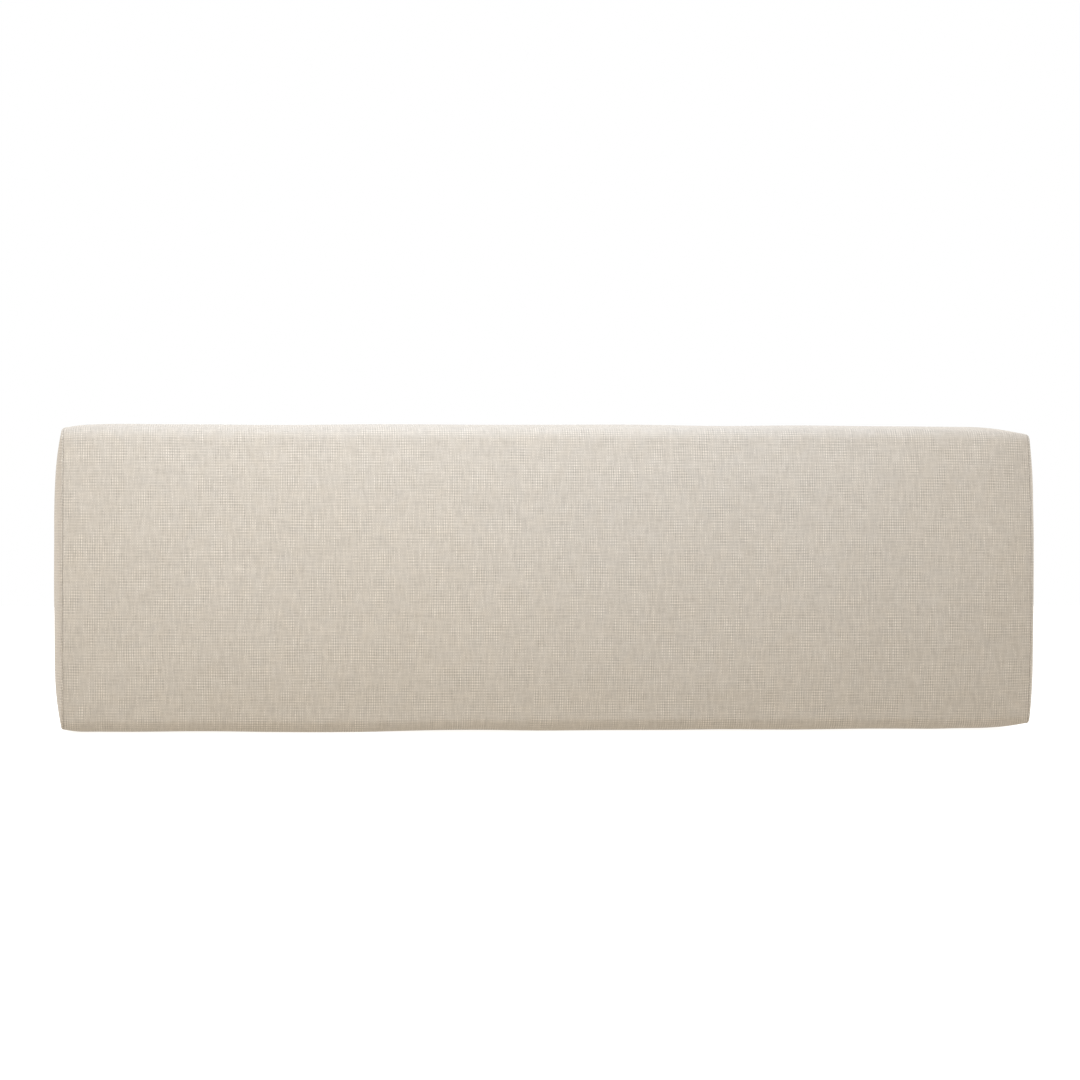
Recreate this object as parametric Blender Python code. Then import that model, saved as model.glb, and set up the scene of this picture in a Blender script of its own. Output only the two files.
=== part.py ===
"""Box-section bolster cushion, standing on its long narrow edge.

X runs along the bolster, Y from the front face (-Y) to the back face (+Y), Z up.
The origin is the centre of the footprint. All lengths are in metres.

From the outside in: a linen cover (one panel wrapped round the four long sides,
closed by a zip in the middle of the back, and two end panels), a thin liner of
the same build, a polyester fibre wrap with two end pads, and a foam block.
The zip slider runs along the zip, and its pull turns on the slider's bail.
"""

import math

import bmesh
import bpy

# ---- the whole bolster ----
LENGTH = 0.660
HEIGHT = 0.206
DEPTH = 0.150
MID_Z = HEIGHT / 2

# ---- long faces: each is an arc across the section ----
CROWN_FACE = 0.013  # how far the front and back stand out at mid height
CROWN_TOP = 0.005  # how far the top stands up at mid depth
CORNER_R = 0.011  # rounding along the four long edges
TAPER = 0.0025  # how far the sides draw in at the end seams
TAPER_RUN = 0.025  # over this length

# ---- the shallow valley that the zip seam pulls into the back face ----
VALLEY = 0.0060
VALLEY_FLAT = 0.010  # half width of its flat bottom
VALLEY_HALF = 0.040  # where it has run out, and the back stands out most


def arc_radius(half_chord, rise):
    return (half_chord**2 + rise**2) / (2 * rise)


# ---- circles of the four long faces, as (centre y, centre z, radius) ----
FACE_R = arc_radius(MID_Z, CROWN_FACE)
TOP_R = arc_radius(DEPTH / 2, CROWN_TOP)
BASE_R = 1000.0  # the underside rests flat
BACK = (DEPTH / 2 - math.sqrt(FACE_R**2 - VALLEY_HALF**2), MID_Z, FACE_R)
FRONT = (FACE_R - DEPTH / 2, MID_Z, FACE_R)
TOP = (0.0, HEIGHT - TOP_R, TOP_R)
BASE = (0.0, BASE_R, BASE_R)
ZIP_Y = BACK[0] + FACE_R - VALLEY  # outer surface of the cover along the zip

# ---- fabric layers, inset from the cover's outer surface ----
COVER_T = 0.0012
WRAP_END = 0.3215  # the wrap panel's end edge
END_T = 0.0010
END_RIM = 0.3236  # rim of the end panel
END_BULGE = LENGTH / 2 - END_RIM
ALLOWANCE_INSET = 0.0016  # the end panel's seam allowance, folded in under the wrap
ALLOWANCE_T = 0.0009
ALLOWANCE_RUN = 0.010
LINER_INSET = 0.0032
LINER_T = 0.0008
LINER_END = 0.3195
LINER_RIM = 0.3215
LINER_BULGE = 0.0058
LINER_VALLEY = VALLEY + 0.0012  # deeper, so that the slider has room behind the tapes
FIBRE_INSET = 0.0044
FIBRE_END = 0.3125
PAD_RIM = 0.3185
PAD_BULGE = 0.0060

# ---- foam block ----
FOAM_LENGTH = 0.625
FOAM_DEPTH = 0.100
FOAM_LOW = 0.016
FOAM_HIGH = 0.186
GAP = 0.0004

# ---- sewing ----
SEAM_GAP = 0.00055  # half width of a closed seam
THREAD_R = 0.00025

# ---- coil zip, gauge 5 ----
SLOT_HALF_W = 0.0052  # half the gap between the cover's two folded edges
SLOT_HALF_L = 0.2475
TAPE_T = 0.0006
TAPE_IN, TAPE_OUT = 0.0011, 0.0151  # each tape's edges, from the zip's centre line
TAPE_HALF_L = 0.262
TAPE_TOP = ZIP_Y - 0.00210
COIL_Z = (0.0011, 0.0030)
COIL_Y = (ZIP_Y - 0.00180, ZIP_Y + 0.00030)
COIL_X = (-0.2420, 0.2342)
SLIDER_X = -0.235  # slider's middle when the zip is closed
SLIDER_HALF_L = 0.006
PLATE_TOP_Y = (ZIP_Y + 0.00060, ZIP_Y + 0.00150)
PLATE_LOW_Y = (ZIP_Y - 0.00390, ZIP_Y - 0.00300)
BAIL_WINDOW_H = 0.00175
BAIL_T = 0.00080
PULL_AXIS_Y = PLATE_TOP_Y[1] + BAIL_WINDOW_H / 2
PULL_LENGTH = 0.028
PULL_HALF_W = 0.0032
PULL_HALF_T = 0.0006

LINEN = ("linen", (0.60, 0.55, 0.47), 0.95, 0.0)
THREAD = ("sewing_thread", (0.56, 0.51, 0.43), 0.85, 0.0)
LINER = ("liner_cotton", (0.80, 0.79, 0.76), 0.95, 0.0)
FIBRE = ("polyester_fibre", (0.86, 0.86, 0.85), 1.0, 0.0)
FOAM = ("upholstery_foam", (0.82, 0.76, 0.58), 0.95, 0.0)
TAPE = ("zip_tape", (0.50, 0.45, 0.38), 0.9, 0.0)
COIL = ("zip_coil", (0.52, 0.48, 0.41), 0.45, 0.0)
METAL = ("zip_metal", (0.55, 0.53, 0.50), 0.35, 1.0)


def clear_scene():
    for obj in list(bpy.data.objects):
        bpy.data.objects.remove(obj)


def material(spec):
    name, colour, roughness, metallic = spec
    found = bpy.data.materials.get(name)
    if found:
        return found
    made = bpy.data.materials.new(name)
    made.use_nodes = True
    shader = made.node_tree.nodes["Principled BSDF"]
    shader.inputs["Base Color"].default_value = (*colour, 1.0)
    shader.inputs["Roughness"].default_value = roughness
    shader.inputs["Metallic"].default_value = metallic
    made.diffuse_color = (*colour, 1.0)
    return made


def add_object(name, bm, spec, parent=None, smooth=True):
    """A mesh object from a bmesh, faces turned outwards."""
    bmesh.ops.recalc_face_normals(bm, faces=bm.faces)
    mesh = bpy.data.meshes.new(name)
    bm.to_mesh(mesh)
    bm.free()
    obj = bpy.data.objects.new(name, mesh)
    bpy.context.scene.collection.objects.link(obj)
    mesh.materials.append(material(spec))
    if smooth:
        mesh.shade_smooth()
        mesh.set_sharp_from_angle(angle=math.radians(35))
    if parent is not None:
        obj.parent = parent
    return obj


# ---- section of the bolster ----


def corner_centre(a, b, side_y, side_z):
    """Centre of the rounding between two face arcs: it lies CORNER_R inside both."""
    (ay, az, ar), (by, bz, br) = a, b
    ra, rb = ar - CORNER_R, br - CORNER_R
    dy, dz = by - ay, bz - az
    gap = math.hypot(dy, dz)
    along = (ra**2 - rb**2 + gap**2) / (2 * gap)
    off = math.sqrt(ra**2 - along**2)
    foot_y, foot_z = ay + along * dy / gap, az + along * dz / gap
    options = [
        (foot_y + s * off * dz / gap, foot_z - s * off * dy / gap) for s in (1, -1)
    ]
    return max(options, key=lambda p: p[0] * side_y + (p[1] - MID_Z) * side_z)


CORNERS = {
    "back_top": corner_centre(BACK, TOP, 1, 1),
    "front_top": corner_centre(FRONT, TOP, -1, 1),
    "front_base": corner_centre(FRONT, BASE, -1, -1),
    "back_base": corner_centre(BACK, BASE, 1, -1),
}
for name in ("front_base", "back_base"):  # the underside is flat to the last micron
    CORNERS[name] = (CORNERS[name][0], CORNER_R)


def direction(circle, point):
    return math.atan2(point[1] - circle[1], point[0] - circle[0])


def valley_share(off_centre):
    t = (abs(off_centre) - VALLEY_FLAT) / (VALLEY_HALF - VALLEY_FLAT)
    t = min(1.0, max(0.0, t))
    return 1.0 - t * t * (3.0 - 2.0 * t)


BACK_STEPS = (0.0100, 0.0175, 0.0250, 0.0325, 0.0400, 0.0580, 0.0750)


def section(inset, valley, half_gap=SEAM_GAP):
    """(y, z) points once round the section, from the back seam up, over and round to it again."""
    points = []

    def face(circle, start, end, count):
        a, b = direction(circle, start), direction(circle, end)
        if b - a > math.pi:
            b -= 2 * math.pi
        if a - b > math.pi:
            b += 2 * math.pi
        for i in range(1, count + 1):
            t = a + (b - a) * i / (count + 1)
            radius = circle[2] - inset
            points.append(
                (circle[0] + radius * math.cos(t), circle[1] + radius * math.sin(t))
            )

    def corner(name, before, after, count=3):
        centre = CORNERS[name]
        a, b = direction(before, centre), direction(after, centre)
        while b < a:
            b += 2 * math.pi
        radius = CORNER_R - inset
        for i in range(count + 2):
            t = a + (b - a) * i / (count + 1)
            points.append(
                (centre[0] + radius * math.cos(t), centre[1] + radius * math.sin(t))
            )

    def back_point(off):
        radius = FACE_R - inset
        y = BACK[0] + math.sqrt(radius**2 - off**2)
        return (y - valley * valley_share(off), MID_Z + off)

    for off in (half_gap, *BACK_STEPS):
        points.append(back_point(off))
    corner("back_top", BACK, TOP)
    face(TOP, CORNERS["back_top"], CORNERS["front_top"], 3)
    corner("front_top", TOP, FRONT)
    face(FRONT, CORNERS["front_top"], CORNERS["front_base"], 7)
    # the underside's centre lies above it, so its corners are turned by hand
    for name, start in (("front_base", direction(FRONT, CORNERS["front_base"])),):
        centre, radius = CORNERS[name], CORNER_R - inset
        start = start if start > 0 else start + 2 * math.pi
        for i in range(5):
            t = start + (1.5 * math.pi - start) * i / 4
            points.append(
                (centre[0] + radius * math.cos(t), centre[1] + radius * math.sin(t))
            )
    left, right = CORNERS["front_base"][0], CORNERS["back_base"][0]
    for i in range(1, 3):
        points.append((left + (right - left) * i / 3, inset))
    centre, radius = CORNERS["back_base"], CORNER_R - inset
    end = direction(BACK, centre)
    for i in range(5):
        t = -0.5 * math.pi + (end + 0.5 * math.pi) * i / 4
        points.append(
            (centre[0] + radius * math.cos(t), centre[1] + radius * math.sin(t))
        )
    for off in (*reversed(BACK_STEPS), half_gap):
        points.append(back_point(-off))
    return points


def taper(x, end=WRAP_END):
    t = max(0.0, (abs(x) - (end - TAPER_RUN)) / TAPER_RUN)
    return TAPER * min(t, 1.0) ** 2


# ---- shapes ----


def extruded_rings(rings, closed):
    """Rings or chains of points, each extruded from the one before; the two end chains are returned."""
    bm = bmesh.new()
    verts = [bm.verts.new(p) for p in rings[0]]
    pairs = list(zip(verts, verts[1:]))
    if closed:
        pairs.append((verts[-1], verts[0]))
    edges = [bm.edges.new(pair) for pair in pairs]
    first, last = verts, verts
    for ring in rings[1:]:
        made = bmesh.ops.extrude_edge_only(bm, edges=edges)["geom"]
        edges = [g for g in made if isinstance(g, bmesh.types.BMEdge)]
        partner = {}
        for old in last:
            for edge in old.link_edges:
                other = edge.other_vert(old)
                if other in made and other not in partner.values():
                    partner[old] = other
        last = [partner[old] for old in last]
        for vert, point in zip(last, ring):
            vert.co = point
        ring_edges = set(edges)
        edges = [e for e in ring_edges if all(v in set(last) for v in e.verts)]
    return bm, first, last


def wrapped_panel(name, spec, stations, inset, valley, thickness, end):
    """A panel wrapped round the four long sides, its edges meeting at the back seam."""
    rings = [
        [
            (x, y, z)
            for y, z in section(inset + taper(x, end), valley, half_gap)
        ]
        for x, half_gap in stations
    ]
    bm, _, _ = extruded_rings(rings, closed=False)
    obj = add_object(name, bm, spec)
    # the open sheet has no inside of its own: its normals are turned away from the axis
    mesh = obj.data
    top = max(mesh.polygons, key=lambda p: p.center.z)
    if top.normal.z < 0:
        mesh.flip_normals()
    solidify = obj.modifiers.new("thickness", "SOLIDIFY")
    solidify.thickness = thickness
    solidify.offset = -1
    solidify.use_even_offset = True
    return obj


def capped_loft(name, spec, rings, pole_start=None, pole_end=None):
    """Closed rings joined into one skin, with a pole or a flat cap at each end."""
    bm, first, last = extruded_rings(rings, closed=True)
    for ring, pole in ((first, pole_start), (last, pole_end)):
        if pole is None:
            bm.faces.new(ring)
            continue
        tip = bm.verts.new(pole)
        for a, b in zip(ring, ring[1:] + ring[:1]):
            bm.faces.new((a, b, tip))
    return add_object(name, bm, spec)


def scaled_ring(x, inset, valley, scale, half_gap=SEAM_GAP):
    """The section's outline at x, drawn in towards its middle."""
    return [
        (x, y * scale, MID_Z + (z - MID_Z) * scale)
        for y, z in section(inset, valley, half_gap)
    ]


DOME = (1.0, 0.93, 0.78, 0.50)


def domed(rim, bulge, scale):
    return rim + bulge * (1.0 - scale**4)


def side_of(points, side):
    return [(side * x, y, z) for x, y, z in points]


def cover_end(name, side):
    """Crowned end panel, with its seam allowance folded in under the wrap."""
    outer = [
        side_of(scaled_ring(domed(END_RIM, END_BULGE, s), TAPER, VALLEY, s), side)
        for s in reversed(DOME)
    ]
    back = END_RIM - END_T
    middle, edge = back - ALLOWANCE_RUN / 2, back - ALLOWANCE_RUN
    turn = [
        (back, 0.0001),
        (back, ALLOWANCE_INSET),
        (middle, ALLOWANCE_INSET),
        (edge, ALLOWANCE_INSET),
        (edge, ALLOWANCE_INSET + ALLOWANCE_T),
        (middle, ALLOWANCE_INSET + ALLOWANCE_T),
        (back - 0.0004, ALLOWANCE_INSET + ALLOWANCE_T),
    ]
    fold = [
        side_of(scaled_ring(x, inset + taper(x), VALLEY, 1.0), side)
        for x, inset in turn
    ]
    inner = [
        side_of(
            scaled_ring(domed(END_RIM, END_BULGE, s) - END_T, TAPER, VALLEY, s), side
        )
        for s in DOME[1:]
    ]
    tip = side * (END_RIM + END_BULGE)
    return capped_loft(
        name,
        LINEN,
        outer + fold + inner,
        (tip, 0.0, MID_Z),
        (tip - side * END_T, 0.0, MID_Z),
    )


def liner_end(name, side):
    outer = [
        side_of(
            scaled_ring(
                domed(LINER_RIM, LINER_BULGE, s), LINER_INSET + TAPER, LINER_VALLEY, s
            ),
            side,
        )
        for s in reversed(DOME)
    ]
    inner = [
        side_of(
            scaled_ring(
                domed(LINER_RIM, LINER_BULGE, s) - LINER_T,
                LINER_INSET + TAPER,
                LINER_VALLEY,
                s,
            ),
            side,
        )
        for s in DOME
    ]
    tip = side * (LINER_RIM + LINER_BULGE)
    return capped_loft(
        name,
        LINER,
        outer + inner,
        (tip, 0.0, MID_Z),
        (tip - side * LINER_T, 0.0, MID_Z),
    )


def fibre_pad(name, side):
    """Fibre pad between the foam's end and the liner, crowned like the end panel."""
    inset = FIBRE_INSET + TAPER
    rings = [
        side_of(scaled_ring(domed(PAD_RIM, PAD_BULGE, s), inset, LINER_VALLEY, s), side)
        for s in reversed(DOME)
    ]
    rings.append(
        side_of(scaled_ring(FIBRE_END + GAP, inset, LINER_VALLEY, 1.0), side)
    )
    return capped_loft(
        name, FIBRE, rings, pole_start=(side * (PAD_RIM + PAD_BULGE), 0.0, MID_Z)
    )


def box(name, spec, x, y, z, bevel=0.0, segments=2, parent=None, origin=(0, 0, 0)):
    """A block between two corners, its long edges rounded by a Bevel modifier."""
    bm = bmesh.new()
    bmesh.ops.create_cube(bm, size=1.0)
    for vert in bm.verts:
        vert.co.x = (x[0] + x[1]) / 2 + vert.co.x * (x[1] - x[0]) - origin[0]
        vert.co.y = (y[0] + y[1]) / 2 + vert.co.y * (y[1] - y[0]) - origin[1]
        vert.co.z = (z[0] + z[1]) / 2 + vert.co.z * (z[1] - z[0]) - origin[2]
    obj = add_object(name, bm, spec, parent, smooth=False)
    if bevel:
        rounding = obj.modifiers.new("rounding", "BEVEL")
        rounding.width = bevel
        rounding.segments = segments
        obj.data.shade_smooth()
    return obj


def prism(name, spec, outline, low, high, axis, parent=None):
    """An outline extruded along one axis: (x, z) outlines along Y, (x, y) outlines along Z."""

    def place(a, b, along):
        return (a, along, b) if axis == "Y" else (a, b, along)

    bm = bmesh.new()
    base = bm.faces.new([bm.verts.new(place(a, b, low)) for a, b in outline])
    made = bmesh.ops.extrude_face_region(bm, geom=[base])["geom"]
    for vert in (g for g in made if isinstance(g, bmesh.types.BMVert)):
        vert.co["xyz".index(axis.lower())] = high
    return add_object(name, bm, spec, parent, smooth=False)


def helper(obj):
    """Hides a piece that only takes part in a Boolean."""
    obj.hide_render = True
    obj.display_type = "WIRE"
    return obj


def boolean(obj, other, operation):
    modifier = obj.modifiers.new(other.name, "BOOLEAN")
    modifier.operation = operation
    modifier.solver = "EXACT"
    modifier.object = helper(other)


def thread(name, points, closed):
    """A sewing thread laid along its seam."""
    curve = bpy.data.curves.new(name, "CURVE")
    curve.dimensions = "3D"
    spline = curve.splines.new("POLY")
    spline.points.add(len(points) - 1)
    for point, at in zip(spline.points, points):
        point.co = (*at, 1.0)
    spline.use_cyclic_u = closed
    curve.bevel_depth = THREAD_R
    curve.bevel_resolution = 1
    curve.use_fill_caps = not closed
    obj = bpy.data.objects.new(name, curve)
    bpy.context.scene.collection.objects.link(obj)
    curve.materials.append(material(THREAD))
    return obj


def seam_ring(x, inset, valley):
    """The line of an end seam, once round the section."""
    points = section(inset, valley, 0.003)
    kept = [points[0]]
    for point in points[1:]:
        if math.dist(point, kept[-1]) > 0.0020:
            kept.append(point)
    return [(x, y, z) for y, z in kept]


# ---- build ----

clear_scene()

bolster = bpy.data.objects.new("bolster", None)
bpy.context.scene.collection.objects.link(bolster)

# foam block
foam = box(
    "foam_core",
    FOAM,
    (-FOAM_LENGTH / 2, FOAM_LENGTH / 2),
    (-FOAM_DEPTH / 2, FOAM_DEPTH / 2),
    (FOAM_LOW, FOAM_HIGH),
    bevel=0.003,
)

# fibre wrap: the crowned outer form with the foam's room taken out from end to end
FIBRE_X = (-0.3125, -0.3055, -0.2965, 0.0, 0.2965, 0.3055, 0.3125)
fibre = capped_loft(
    "fibre_wrap",
    FIBRE,
    [
        scaled_ring(x, FIBRE_INSET + taper(x), LINER_VALLEY, 1.0)
        for x in FIBRE_X
    ],
)
room = box(
    "foam_room",
    FIBRE,
    (-0.4, 0.4),
    (-FOAM_DEPTH / 2 - GAP, FOAM_DEPTH / 2 + GAP),
    (FOAM_LOW - GAP, FOAM_HIGH + GAP),
)
boolean(fibre, room, "DIFFERENCE")
pads = [fibre_pad("fibre_end_pad_left", -1), fibre_pad("fibre_end_pad_right", 1)]

# liner
LINER_X = (-0.3195, -0.3125, -0.3055, -0.2965, 0.0, 0.2965, 0.3055, 0.3125, 0.3195)
liner = wrapped_panel(
    "liner_wrap",
    LINER,
    [(x, SEAM_GAP) for x in LINER_X],
    LINER_INSET,
    LINER_VALLEY,
    LINER_T,
    WRAP_END,
)
liner_ends = [liner_end("liner_end_left", -1), liner_end("liner_end_right", 1)]
liner_y = BACK[0] + FACE_R - LINER_VALLEY - LINER_INSET - LINER_T / 2
thread(
    "liner_seam_thread",
    [(-LINER_END + 0.002, liner_y, MID_Z), (LINER_END - 0.002, liner_y, MID_Z)],
    closed=False,
)
for name, side in (("liner_end_thread_left", -1), ("liner_end_thread_right", 1)):
    ring = seam_ring(
        (LINER_END + LINER_RIM - LINER_T) / 2 * side,
        LINER_INSET + LINER_T / 2 + TAPER,
        LINER_VALLEY,
    )
    thread(name, ring, closed=True)

# cover
COVER_X = (
    (-WRAP_END, SEAM_GAP),
    (-0.3145, SEAM_GAP),
    (-0.3065, SEAM_GAP),
    (-0.2965, SEAM_GAP),
    (-SLOT_HALF_L - 0.0015, SEAM_GAP),
    (-SLOT_HALF_L, SLOT_HALF_W),
    (0.0, SLOT_HALF_W),
    (SLOT_HALF_L, SLOT_HALF_W),
    (SLOT_HALF_L + 0.0015, SEAM_GAP),
    (0.2965, SEAM_GAP),
    (0.3065, SEAM_GAP),
    (0.3145, SEAM_GAP),
    (WRAP_END, SEAM_GAP),
)
cover = wrapped_panel(
    "cover_wrap", LINEN, COVER_X, 0.0, VALLEY, COVER_T, WRAP_END
)
cover_ends = [cover_end("cover_end_left", -1), cover_end("cover_end_right", 1)]
for name, side in (("end_seam_thread_left", -1), ("end_seam_thread_right", 1)):
    ring = seam_ring(
        (WRAP_END + END_RIM - END_T) / 2 * side,
        TAPER + COVER_T / 2,
        VALLEY,
    )
    thread(name, ring, closed=True)
seam_y = ZIP_Y - COVER_T / 2
for name, side in (("back_seam_thread_left", -1), ("back_seam_thread_right", 1)):
    thread(
        name,
        [
            (side * (SLOT_HALF_L + 0.003), seam_y, MID_Z),
            (side * (WRAP_END - 0.0260), seam_y, MID_Z),
            (side * (WRAP_END - 0.0080), seam_y - taper(WRAP_END - 0.0080), MID_Z),
            (side * (WRAP_END - 0.0020), seam_y - taper(WRAP_END - 0.0020), MID_Z),
        ],
        closed=False,
    )

# topstitching: one line of thread run round the zip
STITCH_HALF_W, STITCH_HALF_L, STITCH_TURN = 0.0082, 0.2545, 0.0012
stitch_line = []
for side_x, side_z, start in ((1, 1, 0.0), (-1, 1, 90.0), (-1, -1, 180.0), (1, -1, 270.0)):
    for step in range(4):
        angle = math.radians(start + 30.0 * step)
        stitch_line.append(
            (
                side_x * (STITCH_HALF_L - STITCH_TURN) + STITCH_TURN * math.cos(angle),
                ZIP_Y + 0.0003 + THREAD_R,
                MID_Z
                + side_z * (STITCH_HALF_W - STITCH_TURN)
                + STITCH_TURN * math.sin(angle),
            )
        )
thread("zip_topstitching", stitch_line, closed=True)

# zip tapes, coils and stops
for name, side in (("upper", 1), ("lower", -1)):
    tape_z = sorted((MID_Z + side * TAPE_IN, MID_Z + side * TAPE_OUT))
    box(
        f"zip_tape_{name}",
        TAPE,
        (-TAPE_HALF_L, TAPE_HALF_L),
        (TAPE_TOP - TAPE_T, TAPE_TOP),
        tape_z,
    )
    coil_z = sorted((MID_Z + side * COIL_Z[0], MID_Z + side * COIL_Z[1]))
    box(f"zip_coil_{name}", COIL, COIL_X, COIL_Y, coil_z, bevel=0.0006, segments=3)
    stop_z = sorted((MID_Z + side * 0.0011, MID_Z + side * 0.0033))
    box(
        f"zip_top_stop_{name}",
        METAL,
        (-0.2462, -0.2424),
        (COIL_Y[0], ZIP_Y + 0.0005),
        stop_z,
        bevel=0.0004,
    )
box(
    "zip_bottom_stop",
    METAL,
    (0.2346, 0.2398),
    (COIL_Y[0], ZIP_Y + 0.0005),
    (MID_Z - 0.0033, MID_Z + 0.0033),
    bevel=0.0005,
)

# slider: two wings joined by the wedge that parts the coils, with a bail on top.
# Its parent empty sits on the zip's centre line.
slider_at = bpy.data.objects.new("slider_carriage", None)
slider_at.location = (SLIDER_X, ZIP_Y, MID_Z)
bpy.context.scene.collection.objects.link(slider_at)


def shield(front_half, rear_half, inner=0.0):
    """The slider's wing seen from outside: wide at the front (-X), narrower at the rear."""
    points = []
    corner_r = 0.0014
    ends = (
        (-SLIDER_HALF_L, front_half - inner, 90.0, 180.0),
        (-SLIDER_HALF_L, -(front_half - inner), 180.0, 270.0),
        (SLIDER_HALF_L, -(rear_half - inner), 270.0, 360.0),
        (SLIDER_HALF_L, rear_half - inner, 0.0, 90.0),
    )
    for x, z, start, stop in ends:
        cx = x + math.copysign(corner_r, -x)
        cz = z + math.copysign(corner_r, -z)
        for i in range(4):
            angle = math.radians(start + (stop - start) * i / 3)
            points.append(
                (cx + corner_r * math.cos(angle), cz + corner_r * math.sin(angle))
            )
    return points


slider = prism(
    "zip_slider",
    METAL,
    shield(0.0047, 0.0043),
    PLATE_TOP_Y[0] - ZIP_Y,
    PLATE_TOP_Y[1] - ZIP_Y,
    "Y",
    slider_at,
)
low_wing = prism(
    "slider_low_wing",
    METAL,
    shield(0.0045, 0.0041),
    PLATE_LOW_Y[0] - ZIP_Y,
    PLATE_LOW_Y[1] - ZIP_Y,
    "Y",
    slider_at,
)
wedge = prism(
    "slider_wedge",
    METAL,
    [(-0.0048, -0.0004), (-0.0042, -0.00075), (-0.0020, -0.00060), (-0.0008, -0.00025),
     (-0.0008, 0.00025), (-0.0020, 0.00060), (-0.0042, 0.00075), (-0.0048, 0.0004)],
    PLATE_LOW_Y[1] - ZIP_Y - 0.0004,
    PLATE_TOP_Y[0] - ZIP_Y + 0.0004,
    "Y",
    slider_at,
)
flanges = [
    prism(
        f"slider_flange_{label}",
        METAL,
        [(-0.0044, side * 0.0034), (0.0044, side * 0.0033), (0.0044, side * 0.0042), (-0.0044, side * 0.0045)],
        COIL_Y[0] - ZIP_Y,
        PLATE_TOP_Y[0] - ZIP_Y + 0.0004,
        "Y",
        slider_at,
    )
    for label, side in (("upper", 1), ("lower", -1))
]
bail_base = PLATE_TOP_Y[1] - ZIP_Y
bail_top = bail_base + BAIL_WINDOW_H
bail = prism(
    "slider_bail",
    METAL,
    [
        (-0.0036, bail_base - 0.0004),
        (-0.0036, bail_top),
        (-0.0029, bail_top + BAIL_T),
        (0.0029, bail_top + BAIL_T),
        (0.0036, bail_top),
        (0.0036, bail_base - 0.0004),
        (0.0026, bail_base - 0.0004),
        (0.0026, bail_top),
        (-0.0026, bail_top),
        (-0.0026, bail_base - 0.0004),
    ],
    -0.0011,
    0.0011,
    "Z",
    slider_at,
)
for piece in (low_wing, wedge, *flanges, bail):
    boolean(slider, piece, "UNION")

# pull: a flat tab whose round cross bar turns under the bail.
# Its parent empty sits on the hinge axis, which runs along Z.
pull_at = bpy.data.objects.new("pull_hinge", None)
pull_at.location = (SLIDER_X, PULL_AXIS_Y, MID_Z)
bpy.context.scene.collection.objects.link(pull_at)

tab = [(0.0, PULL_HALF_W), (0.0, -PULL_HALF_W), (0.0070, -PULL_HALF_W), (0.0110, -0.0025)]
tab_end_r = 0.0029
for i in range(9):
    angle = math.radians(-90.0 + 22.5 * i)
    tab.append(
        (
            PULL_LENGTH - tab_end_r + tab_end_r * math.cos(angle),
            tab_end_r * math.sin(angle),
        )
    )
tab += [(0.0110, 0.0025), (0.0070, PULL_HALF_W)]
pull = prism("zip_pull", METAL, tab, -PULL_HALF_T, PULL_HALF_T, "Y", pull_at)
window = box(
    "pull_window", METAL, (-0.001, 0.0047), (-0.002, 0.002), (-0.0018, 0.0018),
    parent=pull_at,
)
boolean(pull, window, "DIFFERENCE")
bar_mesh = bmesh.new()
bmesh.ops.create_cone(
    bar_mesh,
    cap_ends=True,
    segments=16,
    radius1=PULL_HALF_T,
    radius2=PULL_HALF_T,
    depth=2 * PULL_HALF_W,
)
bar = add_object("pull_bar", bar_mesh, METAL, pull_at)
boolean(pull, bar, "UNION")

for obj in bpy.context.scene.objects:
    if obj.parent is None and obj is not bolster:
        obj.parent = bolster
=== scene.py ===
"""The looks of the bolster cushion: linen cover, seams, zip, liner, fibre and foam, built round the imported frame."""

import math

import bpy
import numpy as np
from mathutils import Matrix, Vector

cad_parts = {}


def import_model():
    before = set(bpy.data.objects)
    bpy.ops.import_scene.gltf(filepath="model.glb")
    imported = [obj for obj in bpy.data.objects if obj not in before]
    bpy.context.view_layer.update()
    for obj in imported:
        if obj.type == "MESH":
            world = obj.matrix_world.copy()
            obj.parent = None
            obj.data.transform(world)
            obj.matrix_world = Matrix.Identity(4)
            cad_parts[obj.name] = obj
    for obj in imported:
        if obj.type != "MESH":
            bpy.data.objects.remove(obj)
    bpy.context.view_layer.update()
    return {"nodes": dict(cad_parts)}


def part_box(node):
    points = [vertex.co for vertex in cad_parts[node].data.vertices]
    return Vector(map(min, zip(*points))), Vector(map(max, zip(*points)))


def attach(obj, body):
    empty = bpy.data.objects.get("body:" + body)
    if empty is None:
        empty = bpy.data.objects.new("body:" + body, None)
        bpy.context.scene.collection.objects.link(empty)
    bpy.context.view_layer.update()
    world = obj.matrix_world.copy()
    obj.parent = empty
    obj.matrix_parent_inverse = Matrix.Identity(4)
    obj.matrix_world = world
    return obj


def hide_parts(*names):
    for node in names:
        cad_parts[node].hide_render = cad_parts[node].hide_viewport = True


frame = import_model()

# ------------------------------------------------------------------ sizes, in metres
HEIGHT, DEPTH, MID_Z = 0.206, 0.150, 0.103
CROWN_FACE, CROWN_TOP, CORNER_R = 0.013, 0.005, 0.011
TAPER, TAPER_RUN = 0.0025, 0.025
VALLEY, VALLEY_FLAT, VALLEY_HALF = 0.0060, 0.010, 0.040
WRAP_END, END_RIM, END_BULGE = 0.3215, 0.3236, 0.0064


def arc_radius(half_chord, rise):
    return (half_chord**2 + rise**2) / (2 * rise)


FACE_R = arc_radius(MID_Z, CROWN_FACE)
TOP_R = arc_radius(DEPTH / 2, CROWN_TOP)
BACK = (DEPTH / 2 - math.sqrt(FACE_R**2 - VALLEY_HALF**2), MID_Z, FACE_R)
FRONT = (FACE_R - DEPTH / 2, MID_Z, FACE_R)
TOP = (0.0, HEIGHT - TOP_R, TOP_R)
BASE = (0.0, 1000.0, 1000.0)
ZIP_Y = BACK[0] + FACE_R - VALLEY
TAPE_TOP = ZIP_Y - 0.0021


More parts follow.
